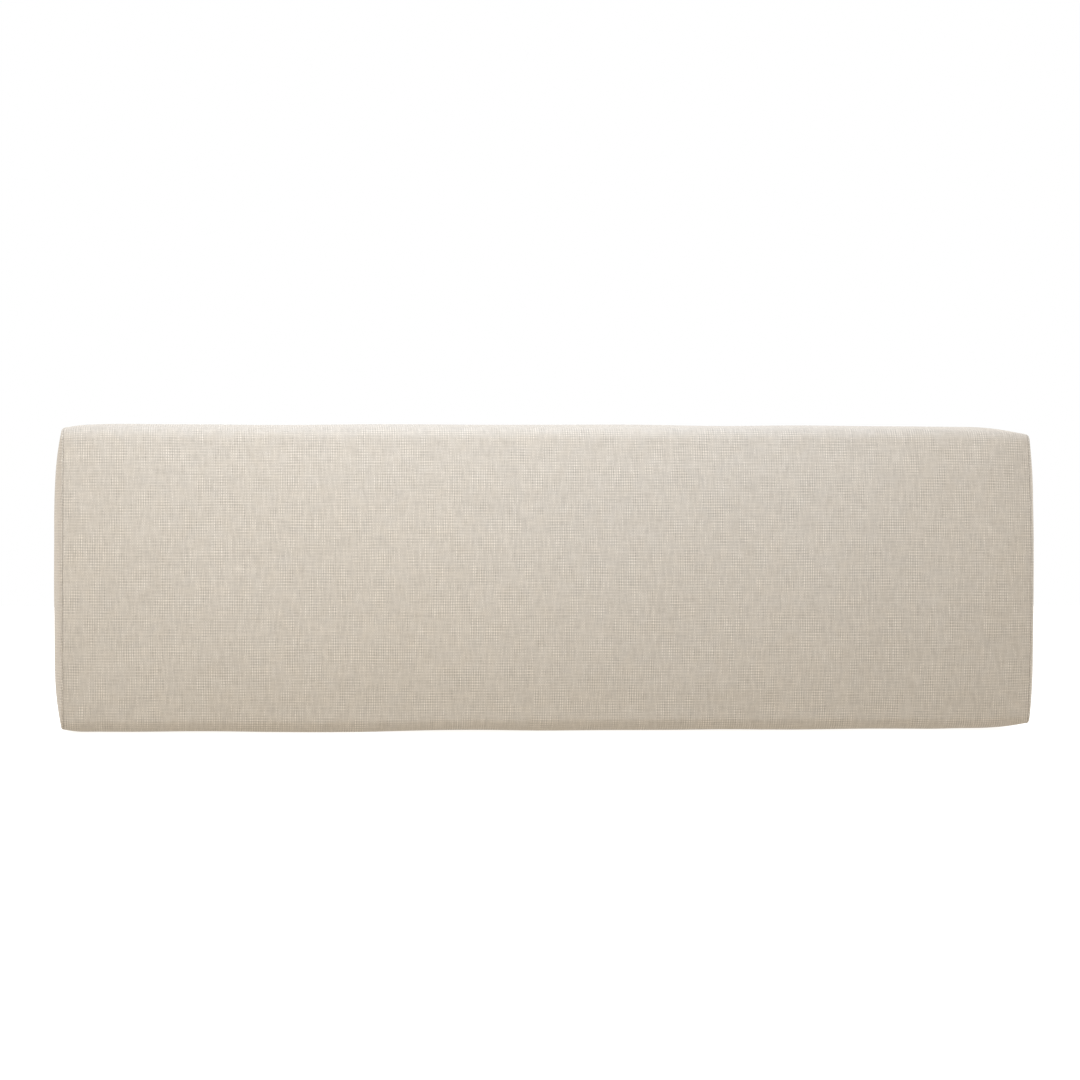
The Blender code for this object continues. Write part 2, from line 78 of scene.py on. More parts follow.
# ------------------------------------------------------------------ outline of the section
def corner_centre(a, b, side_y, side_z):
    (ay, az, ar), (by, bz, br) = a, b
    ra, rb = ar - CORNER_R, br - CORNER_R
    dy, dz = by - ay, bz - az
    gap = math.hypot(dy, dz)
    along = (ra**2 - rb**2 + gap**2) / (2 * gap)
    off = math.sqrt(ra**2 - along**2)
    foot = (ay + along * dy / gap, az + along * dz / gap)
    options = [(foot[0] + s * off * dz / gap, foot[1] - s * off * dy / gap) for s in (1, -1)]
    return max(options, key=lambda p: p[0] * side_y + (p[1] - MID_Z) * side_z)


class Outline:
    """The closed section as a function of arc length s, which starts at the back seam and runs up, over and round."""

    def __init__(self):
        ct = corner_centre(BACK, TOP, 1, 1)
        cf = corner_centre(FRONT, TOP, -1, 1)
        cb = (corner_centre(FRONT, BASE, -1, -1)[0], CORNER_R)
        cz = (corner_centre(BACK, BASE, 1, -1)[0], CORNER_R)
        rows, self.marks, self.length = [], [0.0], 0.0

        def arc(centre, radius, a, b):
            n = max(3, int(abs(b - a) * radius / 0.00015))
            t = np.linspace(a, b, n, endpoint=False)
            s = self.length + (t - a) * radius
            rows.append(
                np.stack([s, centre[0] + radius * np.cos(t), centre[1] + radius * np.sin(t), np.cos(t), np.sin(t)], 1)
            )
            self.length += (b - a) * radius
            self.marks.append(self.length)

        def angle(frm, to):
            return math.atan2(to[1] - frm[1], to[0] - frm[0])

        a_bt, a_tb = angle(BACK, ct), angle(TOP, ct)
        a_tf, a_ft = angle(TOP, cf), angle(FRONT, cf)
        a_fb = angle(FRONT, cb) % (2 * math.pi)
        a_bb = angle(BACK, cz)
        arc(BACK, FACE_R, 0.0, a_bt)
        arc(ct, CORNER_R, a_bt, a_tb)
        arc(TOP, TOP_R, a_tb, a_tf)
        arc(cf, CORNER_R, a_tf, a_ft)
        arc(FRONT, FACE_R, a_ft, a_fb)
        arc(cb, CORNER_R, a_fb, 1.5 * math.pi)
        n = 600
        y = np.linspace(cb[0], cz[0], n, endpoint=False)
        rows.append(np.stack([self.length + y - cb[0], y, 0 * y, 0 * y, 0 * y - 1.0], 1))
        self.length += cz[0] - cb[0]
        self.marks.append(self.length)
        arc(cz, CORNER_R, -0.5 * math.pi, a_bb)
        arc(BACK, FACE_R, a_bb, 0.0)
        table = np.concatenate(rows)
        last = table[0].copy()
        last[0] = self.length
        self.table = np.concatenate([table, last[None]])

    def at(self, s):
        """Point and outward normal, each as (y, z), at arc length s."""
        s = np.mod(np.asarray(s, float), self.length)
        y, z, ny, nz = (np.interp(s, self.table[:, 0], self.table[:, k]) for k in (1, 2, 3, 4))
        size = np.hypot(ny, nz)
        return y, z, ny / size, nz / size

    def valley(self, s):
        """How much of the zip's valley there is at s."""
        s = np.mod(np.asarray(s, float), self.length)
        off = np.minimum(s, self.length - s)
        t = np.clip((off - VALLEY_FLAT) / (VALLEY_HALF - VALLEY_FLAT), 0, 1)
        return 1 - t * t * (3 - 2 * t)


LINE = Outline()
S = LINE.length
M = LINE.marks  # back up, corner, top, corner, front, corner, base, corner, back


def smooth(t):
    t = np.clip(t, 0, 1)
    return t * t * (3 - 2 * t)


def taper(x, end=WRAP_END):
    t = np.clip((np.abs(x) - (end - TAPER_RUN)) / TAPER_RUN, 0, 1)
    return TAPER * t**2


def draw_in(x):
    """How far the cover's sides draw in towards an end seam: tighter and shorter on the left, longer on the right."""
    x = np.asarray(x, float)
    left = 0.0022 * np.clip((-x - (WRAP_END - 0.013)) / 0.013, 0, 1) ** 2
    right = 0.0043 * np.clip((x - (WRAP_END - 0.034)) / 0.034, 0, 1) ** 2.1
    return left + right


# ------------------------------------------------------------------ smooth random fields
def field(points, wavelength, seed, octaves=2):
    """Smooth noise in about -1..1 at points (n x 3), from a sum of waves in seeded directions."""
    r = np.random.default_rng(seed)
    total, size = np.zeros(len(points)), 0.0
    for o in range(octaves):
        k = 2 * math.pi / (wavelength / 2**o)
        for _ in range(14):
            d = r.normal(size=3)
            d *= k * r.uniform(0.6, 1.15) / np.linalg.norm(d)
            total += np.cos(points @ d + r.uniform(0, 2 * math.pi)) * 0.6**o
        size += 7 * 0.36**o
    return total / math.sqrt(size) / 1.6


# ------------------------------------------------------------------ mesh helpers
def new_object(name, verts, faces, uv=None, smooth_shading=True):
    mesh = bpy.data.meshes.new(name)
    verts = np.asarray(verts, np.float32)
    faces = [np.asarray(f, np.int32) for f in (faces if isinstance(faces, list) else [faces])]
    mesh.vertices.add(len(verts))
    mesh.vertices.foreach_set("co", verts.ravel())
    total = sum(len(f) for f in faces)
    loops = np.concatenate([f.ravel() for f in faces])
    sizes = np.concatenate([np.full(len(f), f.shape[1]) for f in faces])
    mesh.loops.add(len(loops))
    mesh.loops.foreach_set("vertex_index", loops.astype(np.int32))
    mesh.polygons.add(total)
    mesh.polygons.foreach_set("loop_start", np.concatenate([[0], np.cumsum(sizes)[:-1]]).astype(np.int32))
    mesh.update(calc_edges=True)
    mesh.validate()
    if uv is not None:
        attribute = mesh.attributes.new("weave_uv", "FLOAT_VECTOR", "POINT")
        attribute.data.foreach_set("vector", np.asarray(uv, np.float32).ravel())
    if smooth_shading:
        mesh.shade_smooth()
    obj = bpy.data.objects.new(name, mesh)
    bpy.context.scene.collection.objects.link(obj)
    return obj


def grid_faces(rows, cols, closed=False):
    """Quads of a rows x cols grid of vertices; closed joins the last column to the first."""
    r = np.arange(rows - 1)[:, None]
    c = np.arange(cols if closed else cols - 1)[None]
    d = (c + 1) % cols
    return np.stack([r * cols + c, r * cols + d, (r + 1) * cols + d, (r + 1) * cols + c], -1).reshape(-1, 4)


def thicken(obj, thickness, offset=-1.0):
    """Turns an open sheet into a closed one of that thickness."""
    m = obj.modifiers.new("thickness", "SOLIDIFY")
    m.thickness, m.offset, m.use_even_offset = thickness, offset, False
    return m


def tubes(name, paths, radii, up, sides=6, flat=1.0):
    """Closed round strands along paths (n x k x 3), all in one mesh. up is (3,), (n x 3) or (n x k x 3)."""
    paths = np.asarray(paths, float)
    n, k, _ = paths.shape
    radii = np.broadcast_to(np.asarray(radii, float), (n, k))
    up = np.asarray(up, float)
    up = np.broadcast_to(up[:, None] if up.ndim == 2 else up, (n, k, 3))
    tangent = np.gradient(paths, axis=1)
    tangent /= np.linalg.norm(tangent, axis=2, keepdims=True) + 1e-12
    side = np.cross(tangent, up)
    side /= np.linalg.norm(side, axis=2, keepdims=True) + 1e-12
    out = np.cross(side, tangent)
    a = np.linspace(0, 2 * math.pi, sides, endpoint=False)
    ring = (
        side[:, :, None] * np.cos(a)[None, None, :, None] + out[:, :, None] * (flat * np.sin(a))[None, None, :, None]
    ) * radii[:, :, None, None]
    verts = (paths[:, :, None] + ring).reshape(-1, 3)
    block = grid_faces(k, sides, closed=True)
    base = (np.arange(n) * k * sides)[:, None, None]
    quads = (block[None] + base).reshape(-1, 4)
    first = (np.arange(sides)[None] + base[:, 0]).reshape(n, sides)[:, ::-1]
    last = (np.arange(sides)[None] + (k - 1) * sides + base[:, 0]).reshape(n, sides)
    obj = new_object(name, verts, [quads, first, last])
    return outward(obj)


def outward(obj):
    import bmesh

    bm = bmesh.new()
    bm.from_mesh(obj.data)
    bmesh.ops.recalc_face_normals(bm, faces=bm.faces)
    bm.to_mesh(obj.data)
    bm.free()
    return obj


def stitches(name, line, normal, pitch, length, radius, sink=0.6, lean=0.0, seed=3):
    """A row of separate stitches along a line (k x 3), each a short thread whose ends go down into the cloth."""
    line, normal = np.asarray(line, float), np.asarray(normal, float)
    step = np.linalg.norm(np.diff(line, axis=0), axis=1)
    dist = np.concatenate([[0], np.cumsum(step)])
    count = max(1, int(round(dist[-1] / pitch)))
    r = np.random.default_rng(seed)
    centre = (np.arange(count) + 0.5) * dist[-1] / count + r.normal(size=count) * pitch * 0.02
    t = np.linspace(-1, 1, 7)
    at = np.clip(centre[:, None] + t[None] * length / 2 * r.uniform(0.95, 1.05, (count, 1)), 0, dist[-1])
    path = np.stack([np.interp(at, dist, line[:, k]) for k in range(3)], -1)
    up = np.stack([np.interp(centre, dist, normal[:, k]) for k in range(3)], -1)
    up /= np.linalg.norm(up, axis=1, keepdims=True)
    path += up[:, None] * (-(np.abs(t) ** 3) * radius * 2 * sink)[None, :, None]
    if lean:
        along = path[:, -1] - path[:, 0]
        along /= np.linalg.norm(along, axis=1, keepdims=True) + 1e-12
        path += np.cross(along, up)[:, None] * (t * lean)[None, :, None]
    thickness = radius * np.array([0.72, 0.93, 1.0, 1.03, 1.0, 0.93, 0.72])
    return tubes(name, path, np.broadcast_to(thickness, (count, 7)), up, sides=8)


# ------------------------------------------------------------------ cloth simulation
def inflate(name, rest, faces, pin, cap, pressure, frames=14, bending=0.4):
    """Blows a pinned sheet out from inside with Blender's Cloth, and returns where its points went, no further than cap."""
    obj = new_object(name, rest, faces)
    group = obj.vertex_groups.new(name="pin")
    for weight in np.unique(np.round(pin, 2)):
        group.add([int(i) for i in np.nonzero(np.round(pin, 2) == weight)[0]], float(weight), "REPLACE")
    cloth = obj.modifiers.new("cloth", "CLOTH")
    c = cloth.settings
    c.quality = 6
    c.mass = 0.3
    c.air_damping = 3.0
    c.tension_stiffness = c.compression_stiffness = 25.0
    c.shear_stiffness = 12.0
    c.bending_stiffness = bending
    c.vertex_group_mass = "pin"
    c.pin_stiffness = 1.0
    c.use_pressure = True
    c.uniform_pressure_force = pressure
    c.effector_weights.gravity = 0.0
    cloth.collision_settings.use_collision = False
    cloth.point_cache.frame_start, cloth.point_cache.frame_end = 1, frames
    scene = bpy.context.scene
    for f in range(1, frames + 1):
        scene.frame_set(f)
    dg = bpy.context.evaluated_depsgraph_get()
    mesh = obj.evaluated_get(dg).to_mesh()
    co = np.zeros(len(mesh.vertices) * 3)
    mesh.vertices.foreach_get("co", co)
    obj.evaluated_get(dg).to_mesh_clear()
    scene.frame_set(1)
    bpy.data.objects.remove(obj)
    co = co.reshape(-1, 3)
    move = co - rest
    far = np.linalg.norm(move, axis=1, keepdims=True)
    return rest + move * (cap * np.tanh(far / cap) / np.maximum(far, 1e-9))


# ------------------------------------------------------------------ node materials
class Look:
    """A small writer for node materials."""

    def __init__(self, name):
        self.material = bpy.data.materials.new(name)
        self.material.use_nodes = True
        self.tree = self.material.node_tree
        self.tree.nodes.clear()
        self.out = self.add("ShaderNodeOutputMaterial")
        self.shader = self.add("ShaderNodeBsdfPrincipled")
        self.tree.links.new(self.shader.outputs[0], self.out.inputs["Surface"])

    def add(self, kind, **props):
        node = self.tree.nodes.new(kind)
        for key, value in props.items():
            setattr(node, key, value)
        return node

    def put(self, value, socket):
        if isinstance(value, bpy.types.NodeSocket):
            self.tree.links.new(value, socket)
        elif isinstance(value, tuple) and socket.type == "VECTOR":
            socket.default_value = value[:3]
        else:
            socket.default_value = value

    def m(self, op, *values, clamp=False):
        node = self.add("ShaderNodeMath", operation=op, use_clamp=clamp)
        for value, socket in zip(values, node.inputs):
            self.put(value, socket)
        return node.outputs[0]

    def v(self, op, *values):
        node = self.add("ShaderNodeVectorMath", operation=op)
        for value, socket in zip(values, node.inputs):
            self.put(value, socket)
        return node.outputs[0]

    def vec(self, x, y, z=0.0):
        node = self.add("ShaderNodeCombineXYZ")
        for value, socket in zip((x, y, z), node.inputs):
            self.put(value, socket)
        return node.outputs[0]

    def split(self, vector):
        node = self.add("ShaderNodeSeparateXYZ")
        self.put(vector, node.inputs[0])
        return node.outputs[0], node.outputs[1], node.outputs[2]

    def noise(self, vector, scale=1.0, detail=1.0, rough=0.5):
        """Noise centred on 0, in about -0.5..0.5."""
        node = self.add("ShaderNodeTexNoise")
        self.put(vector, node.inputs["Vector"])
        node.inputs["Scale"].default_value = scale
        node.inputs["Detail"].default_value = detail
        node.inputs["Roughness"].default_value = rough
        return self.m("SUBTRACT", node.outputs[0], 0.5)

    def ramp(self, value, low, high, a=0.0, b=1.0):
        node = self.add("ShaderNodeMapRange", interpolation_type="SMOOTHSTEP")
        for v, socket in zip((value, low, high, a, b), node.inputs):
            self.put(v, socket)
        return node.outputs[0]

    def mix(self, share, a, b):
        node = self.add("ShaderNodeMix", data_type="RGBA")
        sockets = [s for s in node.inputs if s.type == "RGBA"]
        self.put(share, node.inputs[0])
        self.put(a, sockets[0])
        self.put(b, sockets[1])
        return next(s for s in node.outputs if s.type == "RGBA")

    def tint(self, colour, factor):
        """colour times a single number."""
        node = self.add("ShaderNodeVectorMath", operation="SCALE")
        self.put(colour, node.inputs[0])
        self.put(factor, node.inputs["Scale"])
        return node.outputs[0]

    def attribute(self, name="weave_uv"):
        return self.add("ShaderNodeAttribute", attribute_name=name).outputs["Vector"]

    def position(self):
        return self.add("ShaderNodeTexCoord").outputs["Object"]

    def bump(self, height, distance, strength=1.0):
        node = self.add("ShaderNodeBump")
        node.inputs["Strength"].default_value = strength
        node.inputs["Distance"].default_value = distance
        self.put(height, node.inputs["Height"])
        self.put(node.outputs[0], self.shader.inputs["Normal"])

    def finish(self, colour, roughness, **sockets):
        self.put(colour, self.shader.inputs["Base Color"])
        self.put(roughness, self.shader.inputs["Roughness"])
        for name, value in sockets.items():
            self.put(value, self.shader.inputs[name.replace("_", " ")])
        return self.material


def rgb(r, g, b):
    return (r, g, b, 1.0)


def woven(
    name,
    warp_colour,
    weft_colour,
    warp_pitch,
    weft_pitch,
    streak=1.0,
    mottle=0.02,
    drift=0.0008,
    depth=0.00013,
    gap_painted_shade=0.55,
    sheen=0.25,
    sheen_tint=(1.0, 0.98, 0.95, 1.0),
    roughness=0.88,
):
    """Plain weave on the weave_uv attribute: rounded yarns that pass over and under, slubs, drift and mottling, and
    painted shade in the gaps between the yarns.
    """
    k = Look(name)
    uv = k.attribute()
    x, y, _ = k.split(uv)
    # the yarns don't run quite straight
    x1 = k.m("ADD", x, k.m("MULTIPLY", k.noise(uv, 14.0, 1.0), drift * 2.2))
    x1 = k.m("ADD", x1, k.m("MULTIPLY", k.noise(k.vec(k.m("MULTIPLY", x, 60.0), k.m("MULTIPLY", y, 160.0), 3.0)), drift * 0.35))
    y1 = k.m("ADD", y, k.m("MULTIPLY", k.noise(k.v("ADD", uv, (3.1, 7.7, 0.0)), 14.0, 1.0), drift * 2.2))
    y1 = k.m("ADD", y1, k.m("MULTIPLY", k.noise(k.vec(k.m("MULTIPLY", x, 160.0), k.m("MULTIPLY", y, 60.0), 9.0)), drift * 0.35))
    U, V = k.m("DIVIDE", x1, warp_pitch), k.m("DIVIDE", y1, weft_pitch)
    i, j = k.m("FLOOR", U), k.m("FLOOR", V)
    a = k.m("SUBTRACT", k.m("FRACT", U), 0.5)
    b = k.m("SUBTRACT", k.m("FRACT", V), 0.5)
    # slubs: each yarn's thickness and shade change slowly along it, and differ from its neighbour's
    pair_i = k.m("FLOOR", k.m("DIVIDE", U, 2.0))
    pair_j = k.m("FLOOR", k.m("DIVIDE", V, 2.0))
    warp_slub = k.noise(k.vec(k.m("MULTIPLY", i, 3.37), k.m("MULTIPLY", y, 105.0), 1.0), 1.0, 1.5, 0.6)
    weft_slub = k.noise(k.vec(k.m("MULTIPLY", x, 90.0), k.m("MULTIPLY", j, 3.91), 5.0), 1.0, 1.5, 0.6)
    warp_pair = k.noise(k.vec(k.m("MULTIPLY", pair_i, 5.13), k.m("MULTIPLY", y, 60.0), 11.0), 1.0, 1.0, 0.5)
    weft_pair = k.noise(k.vec(k.m("MULTIPLY", x, 70.0), k.m("MULTIPLY", pair_j, 5.71), 15.0), 1.0, 1.0, 0.5)
    warp_half = k.m("MULTIPLY_ADD", warp_slub, 0.22, 0.47)
    weft_half = k.m("MULTIPLY_ADD", weft_slub, 0.26, 0.47)

    def crown(offset, half):
        t = k.m("DIVIDE", offset, half)
        return k.m("SQRT", k.m("MAXIMUM", k.m("SUBTRACT", 1.0, k.m("MULTIPLY", t, t)), 0.0))

    over_warp = k.m("MULTIPLY_ADD", k.m("SINE", k.m("MULTIPLY", k.m("ADD", V, i), math.pi)), 0.5, 0.5)
    over_weft = k.m("MULTIPLY_ADD", k.m("SINE", k.m("MULTIPLY", k.m("ADD", U, j), math.pi)), -0.5, 0.5)
    h_warp = k.m("MULTIPLY", crown(a, warp_half), k.m("MULTIPLY_ADD", over_warp, 0.7, 0.3))
    h_weft = k.m("MULTIPLY", crown(b, weft_half), k.m("MULTIPLY_ADD", over_weft, 0.7, 0.3))
    h_warp = k.m("ADD", h_warp, k.m("MULTIPLY", warp_slub, 0.25))
    h_weft = k.m("ADD", h_weft, k.m("MULTIPLY", weft_slub, 0.30))
    height = k.m("MAXIMUM", h_warp, h_weft)
    top = k.ramp(k.m("SUBTRACT", h_warp, h_weft), -0.12, 0.12)
    # reed marks: every other yarn stands out a little, more in some patches than in others
    alt_i = k.m("MULTIPLY_ADD", k.m("FRACT", k.m("DIVIDE", i, 2.0)), 4.0, -1.0)
    alt_j = k.m("MULTIPLY_ADD", k.m("FRACT", k.m("DIVIDE", j, 2.0)), 4.0, -1.0)
    patch_i = k.ramp(k.noise(k.vec(k.m("MULTIPLY", x, 85.0), k.m("MULTIPLY", y, 60.0), 21.0)), -0.14, 0.16, 0.1, 1.0)
    patch_j = k.ramp(k.noise(k.vec(k.m("MULTIPLY", x, 55.0), k.m("MULTIPLY", y, 85.0), 25.0)), -0.14, 0.16, 0.1, 1.0)
    mark_i, mark_j = k.m("MULTIPLY", alt_i, patch_i), k.m("MULTIPLY", alt_j, patch_j)
    # shade of each yarn
    warp_shade = k.m("ADD", k.m("MULTIPLY_ADD", warp_slub, 1.02 * streak, 1.0), k.m("MULTIPLY", warp_pair, 0.34 * streak))
    warp_shade = k.m("MULTIPLY_ADD", mark_i, 0.33 * streak, warp_shade)
    weft_shade = k.m("ADD", k.m("MULTIPLY_ADD", weft_slub, 0.47 * streak, 1.0), k.m("MULTIPLY", weft_pair, 0.20 * streak))
    weft_shade = k.m("MULTIPLY_ADD", mark_j, 0.09 * streak, weft_shade)
    warp_tone = k.tint(rgb(*warp_colour), warp_shade)
    weft_tone = k.tint(rgb(*weft_colour), weft_shade)
    colour = k.mix(top, weft_tone, warp_tone)
    # fine fibres along the yarns; painted shade darkens the low places, the gaps between the yarns
    fibre = k.noise(k.vec(k.m("MULTIPLY", x, 2400.0), k.m("MULTIPLY", y, 2400.0), 0.0), 1.0, 2.0, 0.7)
    shade = k.m("MULTIPLY", k.ramp(height, 0.0, 0.75, gap_painted_shade, 1.0), k.m("MULTIPLY_ADD", fibre, 0.16, 1.0))
    colour = k.tint(colour, shade)
    # slow mottling, in shade and a little in hue
    slow = k.noise(k.v("ADD", uv, (1.3, 4.1, 0.0)), 7.0, 1.0, 0.5)
    warm = k.m("ADD", k.noise(k.v("ADD", uv, (8.3, 2.1, 0.0)), 7.0, 2.0, 0.5), k.noise(k.v("ADD", uv, (2.3, 5.1, 0.0)), 110.0, 1.0, 0.5))
    colour = k.tint(colour, k.m("MULTIPLY_ADD", slow, mottle * 2.0, 1.0))
    hue = k.vec(
        k.m("MULTIPLY_ADD", warm, mottle * 1.2, 1.0),
        1.0,
        k.m("MULTIPLY_ADD", warm, -mottle * 2.0, 1.0),
    )
    colour = k.v("MULTIPLY", colour, hue)
    k.bump(k.m("MULTIPLY_ADD", fibre, 0.12, height), depth)
    rough = k.m("MULTIPLY_ADD", k.m("SUBTRACT", height, 0.5), -0.08, roughness)
    return k.finish(
        colour,
        rough,
        Sheen_Weight=sheen,
        Sheen_Roughness=0.45,
        Sheen_Tint=sheen_tint,
        Specular_IOR_Level=0.28,
    )


LINEN_WARP, LINEN_WEFT = (0.560, 0.512, 0.452), (0.540, 0.490, 0.426)
linen = woven("natural_linen", LINEN_WARP, LINEN_WEFT, 0.00079, 0.00094, streak=0.62, depth=0.00006, gap_painted_shade=0.50)
lining = woven(
    "lining_cotton", (0.80, 0.79, 0.75), (0.78, 0.77, 0.73), 0.00045, 0.00045, streak=0.35, mottle=0.015, drift=0.0003,
    depth=0.00010, gap_painted_shade=0.75, sheen=0.1, roughness=0.85,
)


def thread_look():
    """Two-ply polyester thread, its twist as fine slanting ridges, with painted shade in their grooves."""
    k = Look("spun_thread")
    p = k.position()
    x, y, z = k.split(p)
    along = k.m("ADD", x, k.m("ADD", k.m("MULTIPLY", y, 0.6), k.m("MULTIPLY", z, 1.3)))
    twist = k.m("SINE", k.m("MULTIPLY", along, 2 * math.pi / 0.00042))
    slow = k.noise(p, 160.0, 2.0)
    # painted shade: the colour follows the twist's ridges, darker in the grooves between them
    colour = k.tint(rgb(0.55, 0.50, 0.415), k.m("MULTIPLY_ADD", twist, 0.09, k.m("MULTIPLY_ADD", slow, 0.22, 1.0)))
    k.bump(twist, 0.00005)
    return k.finish(colour, k.m("MULTIPLY_ADD", twist, -0.05, 0.62), Sheen_Weight=0.15, Specular_IOR_Level=0.45)


def tape_look():
    """Zip tape: fine lengthwise ribs crossed by a herringbone, with painted shade in the grooves between the ribs."""
    k = Look("zip_tape_weave")
    p = k.position()
    x, y, z = k.split(p)
    off = k.m("ABSOLUTE", k.m("SUBTRACT", z, MID_Z))
    rib = k.m("FRACT", k.m("DIVIDE", off, 0.00085))
    lean = k.m("PINGPONG", off, 0.00085)
    bone = k.m("SINE", k.m("MULTIPLY", k.m("ADD", x, k.m("MULTIPLY", lean, 1.1)), 2 * math.pi / 0.00062))
    crest = k.m("SQRT", k.m("SINE", k.m("MULTIPLY", rib, math.pi)))
    height = k.m("MULTIPLY_ADD", bone, 0.3, crest)
    fuzz = k.noise(p, 900.0, 2.0)
    # painted shade: the grooves between the ribs, where the height is low, are darker
    colour = k.tint(
        rgb(0.50, 0.445, 0.36),
        k.m("MULTIPLY", k.ramp(height, -0.1, 1.1, 0.62, 1.05), k.m("MULTIPLY_ADD", fuzz, 0.22, 1.0)),
    )
    k.bump(height, 0.00010)
    return k.finish(colour, k.m("MULTIPLY_ADD", fuzz, 0.1, 0.82), Sheen_Weight=0.15, Specular_IOR_Level=0.3)


def coil_look():
    """Dyed polyester monofilament, slightly translucent and satin, its tone uneven from turn to turn."""
    k = Look("coil_monofilament")
    p = k.position()
    x, _, _ = k.split(p)
    turn = k.noise(k.vec(k.m("MULTIPLY", x, 900.0), 0.0, 0.0), 1.0, 1.0)
    colour = k.tint(rgb(0.56, 0.505, 0.415), k.m("MULTIPLY_ADD", turn, 0.14, 1.0))
    fine = k.noise(p, 2600.0, 1.0)
    k.bump(fine, 0.00002)
    return k.finish(colour, k.m("MULTIPLY_ADD", fine, 0.14, 0.36), Specular_IOR_Level=0.5, Coat_Weight=0.15)


def metal_look():
    """Cast zinc with a satin nickel finish: soft brushing, small pits, brighter where hands rub it."""
    k = Look("satin_nickel")
    p = k.position()
    x, y, z = k.split(p)
    brush = k.noise(k.vec(k.m("MULTIPLY", x, 700.0), k.m("MULTIPLY", y, 9000.0), k.m("MULTIPLY", z, 9000.0)), 1.0, 2.0)
    cloud = k.noise(p, 260.0, 3.0)
    colour = k.tint(rgb(0.60, 0.575, 0.54), k.m("MULTIPLY_ADD", brush, 0.16, k.m("MULTIPLY_ADD", cloud, 0.14, 1.0)))
    k.bump(k.m("MULTIPLY_ADD", cloud, 0.5, brush), 0.00002)
    rough = k.m("ADD", k.m("MULTIPLY_ADD", brush, 0.16, 0.30), k.m("MULTIPLY", cloud, 0.22))
    return k.finish(colour, rough, Metallic=1.0)


def fibre_look():
    """Bonded polyester batting: fine crossing fibres over soft lumps, with painted shade between the fibres and in the
    lumps' dips.
    """
    k = Look("polyester_batting")
    p = k.position()
    warp = k.v("ADD", p, k.v("SCALE", p, (0.0, 0.0, 0.0)))
    strand = None
    for angle, seed in ((0.3, 1.0), (1.4, 5.0), (2.4, 9.0)):
        x, y, z = k.split(warp)
        u = k.m("ADD", k.m("MULTIPLY", x, math.cos(angle)), k.m("MULTIPLY", k.m("ADD", y, z), math.sin(angle)))
        w = k.m("SUBTRACT", k.m("MULTIPLY", k.m("ADD", y, z), math.cos(angle)), k.m("MULTIPLY", x, math.sin(angle)))
        n = k.noise(k.vec(k.m("MULTIPLY", u, 60.0), k.m("MULTIPLY", w, 1500.0), seed), 1.0, 2.0, 0.6)
        strand = n if strand is None else k.m("MAXIMUM", strand, n)
    lump = k.noise(p, 45.0, 3.0)
    # painted shade: darker between the strands and where the lumps dip
    colour = k.tint(rgb(0.87, 0.87, 0.86), k.m("MULTIPLY_ADD", strand, 0.25, k.m("MULTIPLY_ADD", lump, 0.08, 0.96)))
    k.bump(k.m("MULTIPLY_ADD", lump, 2.0, strand), 0.0006)
    return k.finish(colour, k.m("MULTIPLY_ADD", lump, 0.1, 0.93), Sheen_Weight=0.35, Specular_IOR_Level=0.2)


def foam_look():
    """Open-cell polyurethane foam: painted shade in small pores among brighter struts, yellowed a little in patches.
    """
    k = Look("open_cell_foam")
    p = k.position()
    cells = k.add("ShaderNodeTexVoronoi", feature="SMOOTH_F1")
    k.put(p, cells.inputs["Vector"])
    cells.inputs["Scale"].default_value = 900.0
    pore = k.ramp(cells.outputs["Distance"], 0.10, 0.55)
    big = k.add("ShaderNodeTexVoronoi")
    k.put(p, big.inputs["Vector"])
    big.inputs["Scale"].default_value = 240.0
    hole = k.ramp(big.outputs["Distance"], 0.10, 0.22)
    age = k.noise(p, 12.0, 3.0)
    colour = k.mix(k.m("ADD", age, 0.5), rgb(0.84, 0.79, 0.62), rgb(0.79, 0.71, 0.50))
    # painted shade in the pores and in the larger holes
    colour = k.tint(colour, k.m("MULTIPLY", k.m("MULTIPLY_ADD", pore, 0.28, 0.76), k.m("MULTIPLY_ADD", hole, 0.25, 0.75)))
    k.bump(k.m("ADD", pore, hole), 0.0004)
    return k.finish(colour, k.m("MULTIPLY_ADD", age, 0.08, 0.92), Specular_IOR_Level=0.25, Sheen_Weight=0.1)


thread_material = thread_look()
tape_material = tape_look()
coil_material = coil_look()
metal_material = metal_look()
fibre_material = fibre_look()
foam_material = foam_look()


def place(obj, body, material, slot, *nodes):
    """Gives a piece its material and its body, and hides the frame's nodes it stands for; slot is not used."""
    obj.data.materials.clear()
    obj.data.materials.append(material)
    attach(obj, body)
    if nodes:
        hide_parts(*nodes)
    return obj


# ------------------------------------------------------------------ linen wrap
HEM_R = 0.00058  # half the thickness of a folded edge
ROLL_R = 0.0003  # rounding of the cloth into an end seam
EDGE, SEAM_X = 0.3224, 0.3225  # the two sides of an end seam
RIM_R = 0.0012  # rounding of an end panel's rim
SLOT_W, SLOT_L = 0.0052, 0.2475
COVER_T = 0.00045


def half_gap(x):
    """Half the gap between the wrap's two edges: the zip's slot, closed to a seam past its ends."""
    return 0.00045 + (SLOT_W - 0.00045) * (1 - smooth((np.abs(x) - (SLOT_L - 0.0002)) / 0.0035))


def spread(a, b, step):
    return np.linspace(a, b, max(2, int(round((b - a) / step)) + 1))[:-1]


def columns(coarse):
    """Arc lengths of the grid's columns between the two placket zones."""
    f = 2.1 if coarse else 1.0
    parts = [spread(0.012, 0.042, 0.0026 * f), spread(0.042, M[1], 0.0042 * f)]
    for k, step in zip(range(1, 8), (0.0014, 0.0045, 0.0014, 0.0040, 0.0014, 0.0045, 0.0014)):
        parts.append(spread(M[k], M[k + 1], step * (1.9 if step < 0.002 and coarse else f)))
    parts += [spread(M[8], S - 0.042, 0.0042 * f), spread(S - 0.042, S - 0.012, 0.0026 * f), [S - 0.012]]
    return np.concatenate(parts)


